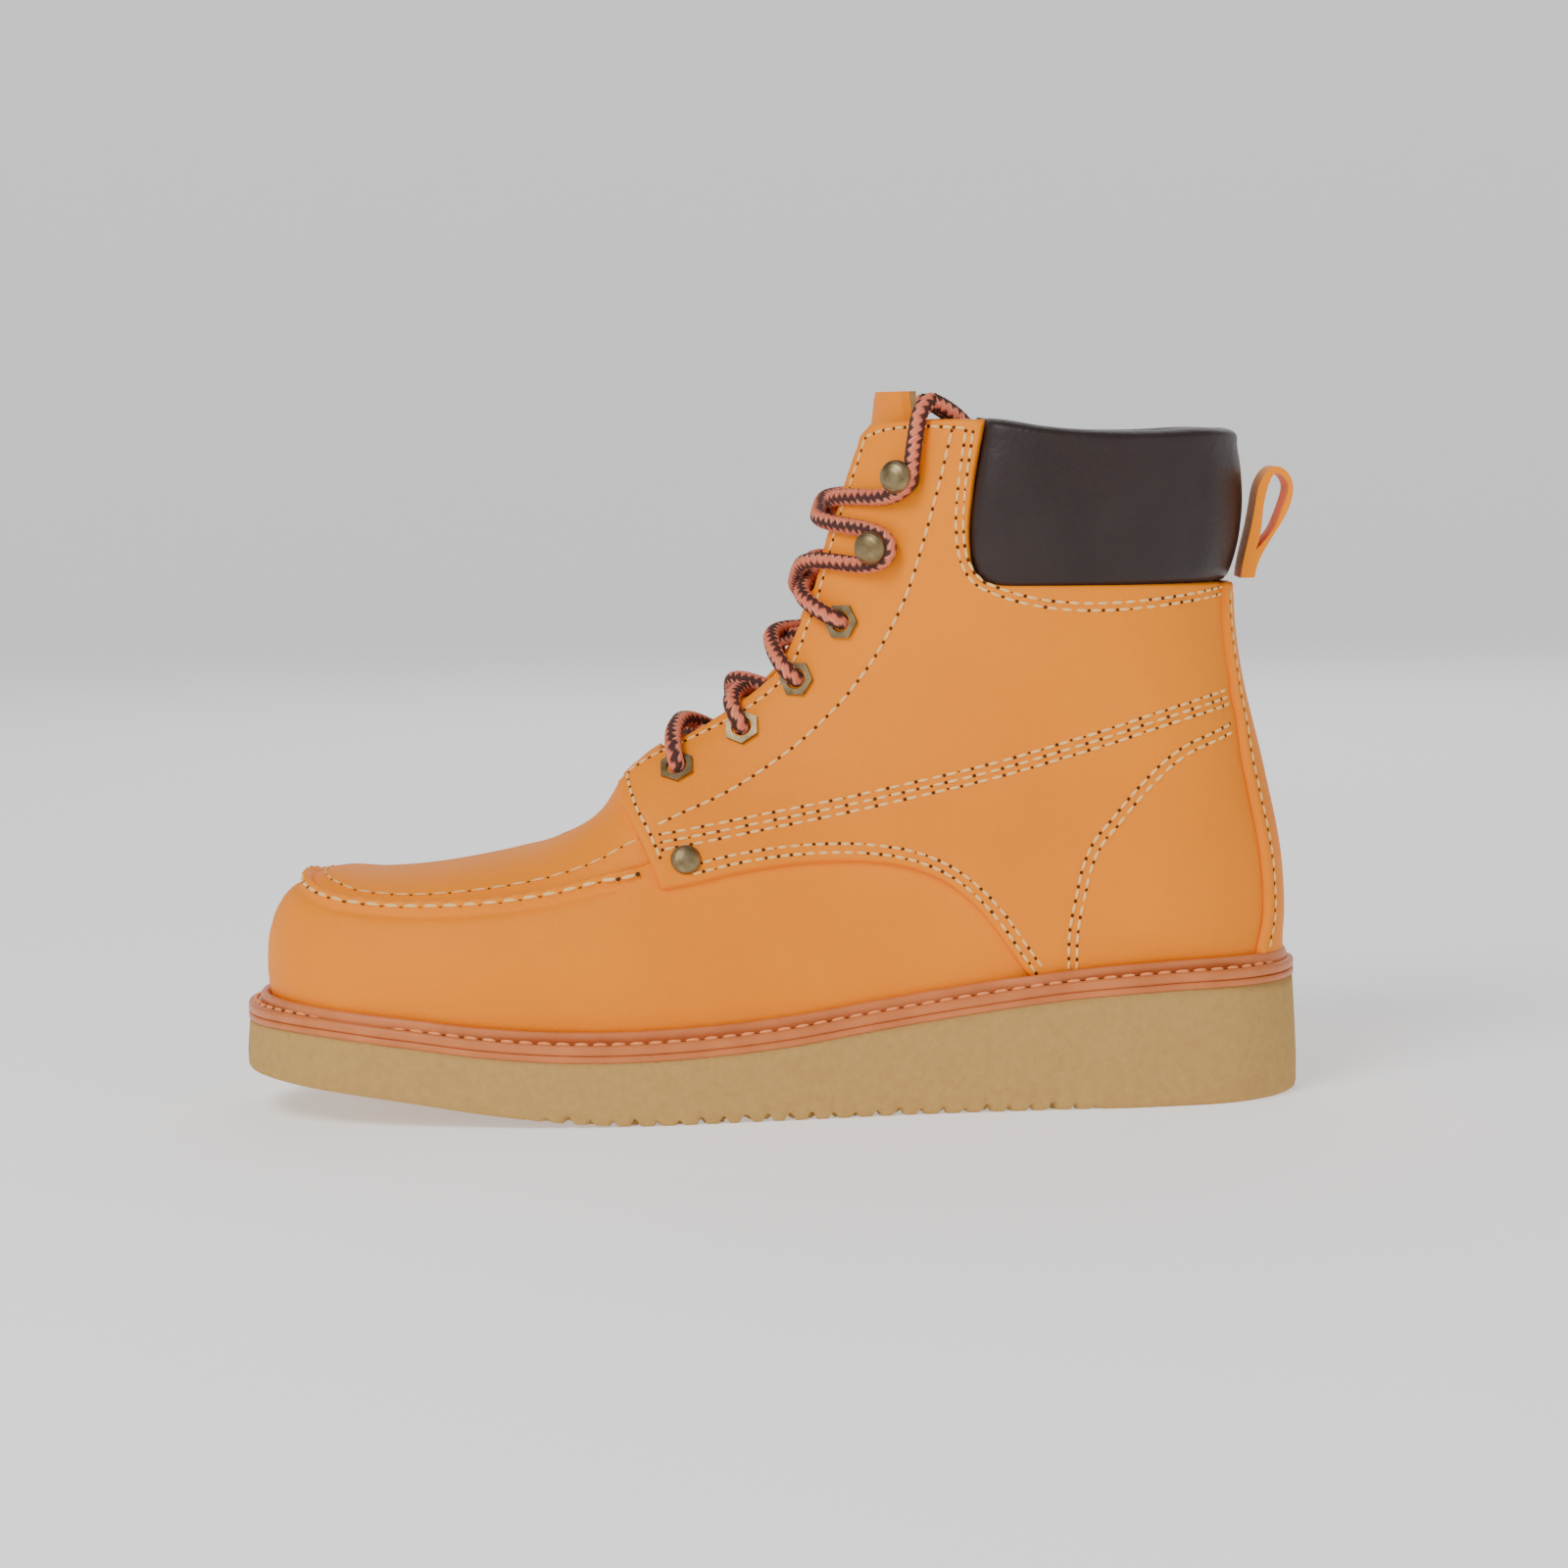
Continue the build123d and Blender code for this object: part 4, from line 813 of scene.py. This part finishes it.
def collar():
    """A padded band round the shaft: it swells by sin(pi h) ^ 0.5 over its height and rolls over the rim."""
    flat_count, fan = 26, 34
    u = np.r_[np.linspace(0, 1, flat_count), np.ones(fan - 2), np.linspace(1, 0, flat_count)]
    turn = np.r_[np.zeros(flat_count), np.linspace(0, np.pi, fan)[1:-1], np.full(flat_count, np.pi)]
    sections = []
    outer_h = np.linspace(0, 1, 22)
    over = np.linspace(0, 1, 9)[1:]
    low_z, rear_x = 148.4, 100.0

    def at(z, height, foot_share):
        """Points this far out from the leather's face, the rays closing in on rear_x as foot_share grows."""
        feet = profile(EDGE_X, np.minimum(z, 196.0)) * (1 - foot_share) + rear_x * foot_share
        d = np.column_stack([np.sin(turn), -np.cos(turn), np.zeros(len(turn))])
        hit = outward(np.column_stack([feet, np.zeros(len(feet)), z]), d)
        m = normal(hit)
        return hit + m * height[:, None]

    plan = at(np.full(len(u), 170.0), np.zeros(len(u)), u)
    run = np.r_[0, np.cumsum(np.linalg.norm(np.diff(plan, axis=0), axis=1))]
    end = np.minimum(run, run[-1] - run)
    soft = np.sqrt(np.clip(1 - (1 - np.clip(end / 7, 0, 1)) ** 2, 0, 1))
    half_roll = 2.6
    rim = profile(RIM, plan[:, 0]) - half_roll
    crease = sum(a * np.exp(-(((run if k else run[-1] - run) - c) / w) ** 2)
                 for k in (0, 1) for a, c, w in ((0.5, 34, 4), (0.7, 62, 3.4), (0.45, 76, 3.0)))
    for h in outer_h:
        z = low_z + (rim - low_z) * h
        swell = np.sin(np.pi * min(h, 0.93)) ** 0.5
        height = -0.2 + soft * (1.2 + 3.4 * swell) - crease * np.sin(np.pi * h) ** 0.7 * (0.8 + 0.4 * np.sin(9 * h))
        sections.append(at(z, height, u))
    last = -0.2 + soft * (1.2 + 3.4 * np.sin(np.pi * 0.93) ** 0.5)
    for s in over:
        a = s * np.pi
        height = last * (1 + np.cos(a)) / 2 - 6.4 * (1 - np.cos(a)) / 2
        sections.append(at(rim + half_roll * np.sin(a), height, u))
    sections.append(at(rim - 3.0, np.full(len(u), -6.6), u))
    sections.append(at(np.minimum(rim - 3.4, 186.6), np.full(len(u), -4.4), u))
    sections.append(at(np.minimum(rim - 3.0, 187.0), np.full(len(u), -2.0), u))
    sections.append(at(np.full(len(u), 168.0), np.full(len(u), -2.0), u))
    sections.append(at(np.full(len(u), low_z + 0.2), np.full(len(u), -1.6), u))
    grid = np.stack(sections, 1)
    rows, columns = grid.shape[:2]
    faces = grid_faces(rows, columns, wrap_columns=True)
    faces += [list(range(columns))[::-1], [(rows - 1) * columns + j for j in range(columns)]]
    return recalculated(mesh("collar_pad", grid, faces, collar_leather))


pad = collar()
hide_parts("collar_cover", "collar_foam")

# ---------------------------------------------------------------- backstay
BACKSTAY_HALF, BACKSTAY_IN = 12.5, 2.2


def back_line(z):
    """The backstay's edge in side view at heights z."""
    return np.column_stack([profile([(height, x) for x, height in BACK_EDGE[::-1]], z), z])


def backstay_edge(z, side):
    """The unrolled place at each height where the surface's back is BACKSTAY_HALF from the middle."""
    back = HEEL_X + HEEL_ROUND * np.pi / 2
    u = np.linspace(back - 30, back, 200)
    y = np.array([np.abs(laid(np.column_stack([u, np.full(200, h)]), side)[0][:, 1]) for h in z])
    return u[np.argmin(np.abs(y - BACKSTAY_HALF), axis=1)]


def backstay():
    """A strip down the back: 2 sqrt(1 - (1 - d / 1.2) ^ 2) thick, d the distance from its edge, 0.15 up to its stitches."""
    z = np.linspace(147.6, 36.6, 90)
    half = {s: unrolled(back_line(z), s)[:, 0] for s in (-1.0, 1.0)}
    back = HEEL_X + HEEL_ROUND * np.pi / 2
    share = np.linspace(-1, 1, 61)
    share = np.sign(share) * np.abs(share) ** 0.7
    least = {s: backstay_edge(z, s) for s in (-1.0, 1.0)}
    top_points, low_points = [], []
    for v in share:
        s = -1.0 if v <= 0 else 1.0
        edge = np.minimum(half[s], least[s])
        u = back - np.abs(v) * (back - edge)
        p, m = laid(np.column_stack([u, z]), s)
        gap = (1 - abs(v)) * (back - edge) * 1.15
        gap = np.minimum(gap, (147.6 - z) + 0.4)
        rounded = np.sqrt(np.clip(1 - (1 - np.clip(gap / 1.3, 0, 1)) ** 2, 0, 1))
        height = BACKSTAY_IN + LEATHER * rounded - 0.28 * np.exp(-(((gap - 2.6) / 0.8) ** 2))
        top_points.append(p + m * height[:, None])
        low_points.append(p + m * 0.3)
    return slab("backstay_strip", np.array(top_points), np.array(low_points), wheat)


strip = backstay()
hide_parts("backstay")
rows = []
for side in (-1.0, 1.0):
    z = np.linspace(146.0, 42.0, 30)
    edge = unrolled(back_line(z), side)
    edge[:, 0] = np.minimum(edge[:, 0], backstay_edge(z, side)) + 2.3
    rows.append((edge, raised(side, BACKSTAY_IN + LEATHER - 0.2), 3.8))
sewn("backstay_stitches", rows)

# ---------------------------------------------------------------- laces
UNDER, OVER, CROSS_OVER, CROSS_UNDER = -6.3, 5.7, 2.2, -3.6
LACE_D = 4.8
EYELETS = [(-24.9, 97.0), (-6.0, 108.0), (10.4, 122.2), (23.5, 138.9)]
HOOKS = [(34.5, 159.9), (42.1, 179.3)]
TAIL = [(55.0, 198.4, -6.8), (61.5, 190.0, -8.4), (65.0, 177.0, -7.0), (67.4, 162.0, -7.4), (68.6, 146.0, -6.9),
        (70.4, 131.0, -7.6), (71.0, 117.0, -7.2), (72.2, 104.0, -7.6)]


def at_spot(spot, side, height):
    """A point over an eyelet or hook."""
    p = side_point(*spot, side)
    return p + normal(p) * height


def round_hook(k, side):
    """Two corners of the lace's turn round a hook's neck: below and behind it, above and behind it."""
    p = side_point(*HOOKS[k], side)
    m = normal(p)
    place = place_of(*map(np.array, HOOKS[k]))
    up = front_point(place + 3, side * 14.0) - front_point(place, side * 14.0)
    up = up - m * (up @ m)
    up /= np.linalg.norm(up)
    back = np.cross(m, up) * -side
    back = back * np.sign(back[0])
    seat = p + m * OVER
    return [seat - up * 5.2 + back * 4.6, seat + up * 5.4 + back * 4.6]


def half_lace(side, crossing):
    """The route of one half of the lace from the lowest bar to the top edge."""
    places = [float(place_of(np.array(x), np.array(z))) for x, z in EYELETS + HOOKS]
    route = [front_point(places[0], 0.0, UNDER)]
    for k, spot in enumerate(EYELETS):
        step = places[k + 1] - places[k]
        route += [at_spot(spot, side, UNDER), at_spot(spot, side, OVER + 1.0),
                  front_point(places[k] + 0.2 * step, side * 14.5, OVER), front_point(places[k] + 0.5 * step, 0.0, crossing)]
        side = -side
        route.append(front_point(places[k] + (0.82 if k < 3 else 0.8) * step, side * (14.0 if k < 3 else 14.5),
                                 UNDER + 0.2 if k < 3 else OVER))
    route += round_hook(0, side)
    step = places[5] - places[4]
    route += [front_point(places[4] + 0.32 * step, side * 15.0, OVER), front_point(places[4] + 0.5 * step, 0.0, crossing)]
    side = -side
    route += [front_point(places[4] + 0.75 * step, side * 15.5, OVER), round_hook(1, side)[0],
              side_point(43.6, 189.5, side, OVER), side_point(45.8, 200.2, side, 3.4), side_point(49.0, 201.2, side, -1.4)]
    return np.array(route), side


def nurbs(points):
    """Points along a NURBS spline whose control points are the route's points."""
    data = bpy.data.curves.new("route", "CURVE")
    data.dimensions = "3D"
    spline = data.splines.new("NURBS")
    spline.points.add(len(points) - 1)
    spline.points.foreach_set("co", np.column_stack([points * MM, np.ones(len(points))]).ravel())
    spline.order_u = 3
    spline.use_endpoint_u = True
    data.resolution_u = 16
    holder = bpy.data.objects.new("route", data)
    line = bpy.data.meshes.new_from_object(holder)
    p = np.zeros(len(line.vertices) * 3)
    line.vertices.foreach_get("co", p)
    bpy.data.objects.remove(holder)
    bpy.data.curves.remove(data)
    bpy.data.meshes.remove(line)
    return p.reshape(-1, 3) / MM


def tube(name, path, radius, material, body="boot"):
    """A round braid along a path: radius r - 0.12 + 0.24 |sin(4 a + 2.2 s)| |sin(4 a - 2.2 s)|, banded in zigzags, with
    painted shade in its grooves.
    """
    path = resampled(path, 0.5, smooth=False)
    t = np.gradient(path, axis=0)
    t /= np.linalg.norm(t, axis=1, keepdims=True)
    side = np.cross(t[0], [0.2, 1.0, 0.3])
    sides = []
    for k in range(len(path)):
        side = side - t[k] * (side @ t[k])
        side = side / np.linalg.norm(side)
        sides.append(side)
    sides = np.array(sides)
    others = np.cross(t, sides)
    around = 24
    a = np.arange(around) / around * 2 * np.pi
    s = np.arange(len(path)) * 0.5
    weave = np.abs(np.sin(4 * a[None] + 2.2 * s[:, None])) * np.abs(np.sin(4 * a[None] - 2.2 * s[:, None]))
    r = radius - 0.12 + 0.24 * weave
    spoke = sides[:, None] * np.cos(a)[None, :, None] + others[:, None] * np.sin(a)[None, :, None]
    ring = path[:, None] + spoke * r[..., None]
    points = np.vstack([ring.reshape(-1, 3), path[:1], path[-1:]])
    n_ring = len(path) * around
    faces = grid_faces(len(path), around, wrap_columns=True)
    faces += [(n_ring, (k + 1) % around, k) for k in range(around)]
    faces += [(n_ring + 1, n_ring - around + k, n_ring - around + (k + 1) % around) for k in range(around)]
    piece = mesh(name, points, faces, material, body)
    zig = np.abs((s[:, None] / 2.4 % 1) * 2 - 1)
    across = (a[None] / (2 * np.pi) * 3 + 0.34 * zig + s[:, None] / 90) % 1
    band = across < 0.5
    thin = (across > 0.5) & (across < 0.62)
    pink, maroon, pale = np.array([(0.85, 0.20, 0.10, 1.0), (0.07, 0.016, 0.012, 1.0), (0.95, 0.34, 0.20, 1.0)])
    # Painted shade: the colour is darkened by up to a fifth where the weave is low, in the braid's grooves.
    colour = np.where(band[..., None], maroon, np.where(thin[..., None], pale, pink)) * (0.8 + 0.2 * weave[..., None])
    colour[..., 3] = 1
    colour = np.vstack([colour.reshape(-1, 4), colour[0, :1], colour[-1, :1]])
    layer = piece.data.color_attributes.new("braid", "FLOAT_COLOR", "POINT")
    layer.data.foreach_set("color", colour.ravel())
    return piece


lace_finish, tree, shader = new_material("lace_braid")
attribute = node(tree, "ShaderNodeAttribute", attribute_name="braid")
tree.links.new(attribute.outputs["Color"], shader.inputs["Base Color"])
shader.inputs["Roughness"].default_value = 0.8
for first_side, crossing in ((-1.0, CROSS_OVER), (1.0, CROSS_UNDER)):
    route, last = half_lace(first_side, crossing)
    name = "lateral" if last < 0 else "medial"
    half = tube(f"lace_half_{name}", nurbs(route), LACE_D / 2 - 0.05, lace_finish)
    if first_side < 0:
        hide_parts("lace")
    tail_route = np.array([route[-1]] + [side_point(x, z, last, h) for x, z, h in TAIL])
    path = nurbs(tail_route)
    run = np.linalg.norm(np.diff(path, axis=0), axis=1).sum()
    tail = tube(f"lace_end_{name}", path, LACE_D / 2 - 0.05, lace_finish)
    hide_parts(f"lace_tail_{name}")

# ---------------------------------------------------------------- footbed
def footbed():
    """The footbed as a pad with a crowned top and round edges, 8.4 inside the upper's surface."""
    feet = np.linspace(92.0, SPINE_FRONT, 60)
    front = np.linspace(-np.pi / 2, -3 * np.pi / 2, 40)
    rear = np.linspace(np.pi / 2, -np.pi / 2, 40)
    x = np.r_[feet[:-1], np.full(40, SPINE_FRONT), feet[::-1][1:-1], np.full(40, 92.0)]
    angle = np.r_[np.full(59, -np.pi / 2), front, np.full(58, np.pi / 2), rear]
    o = np.column_stack([x, np.zeros(len(x)), profile(SOLE_TOP, x) + 9.0])
    d = np.column_stack([np.cos(angle), np.sin(angle), np.zeros(len(x))])
    hit = outward(o, d) - d * 9.0
    rings = []
    for inset, lift in ((0.5, 7.4), (0.0, 8.2), (0.0, 10.8), (0.5, 12.0), (1.6, 12.6), (4.0, 12.9), (10.0, 13.1)):
        p = hit - d * inset
        p[:, 2] = profile(SOLE_TOP, p[:, 0]) + lift
        rings.append(p)
    return capped("footbed_pad", rings, lining)


bed = footbed()
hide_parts("footbed_foam", "footbed_cover")
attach(bed, "footbed")

# ---------------------------------------------------------------- pieces whose shape is already right
BOTH = ("lateral", "medial")
for material, names in (
    (steel, ["steel_toe_cap", "steel_shank"]),
    (rubber, ["toe_cap_bumper"]),
    (board, ["insole_board", "cork_filler", "heel_counter"]),
    (lining, ["vamp_lining", "shaft_lining", "tongue_lining", *(f"facing_reinforcement_{side}" for side in BOTH)]),
    (wheat, ["tongue_leather", "pull_loop"]),
    (brass, [f"{part}_{side}" for part in ("eyelets", "speed_hooks", "rivet") for side in BOTH]),
    (aglet_finish, [f"aglet_{side}" for side in BOTH]),
):
    for name in names:
        slots = bpy.data.objects[name].data.materials
        slots.clear()
        slots.append(material)
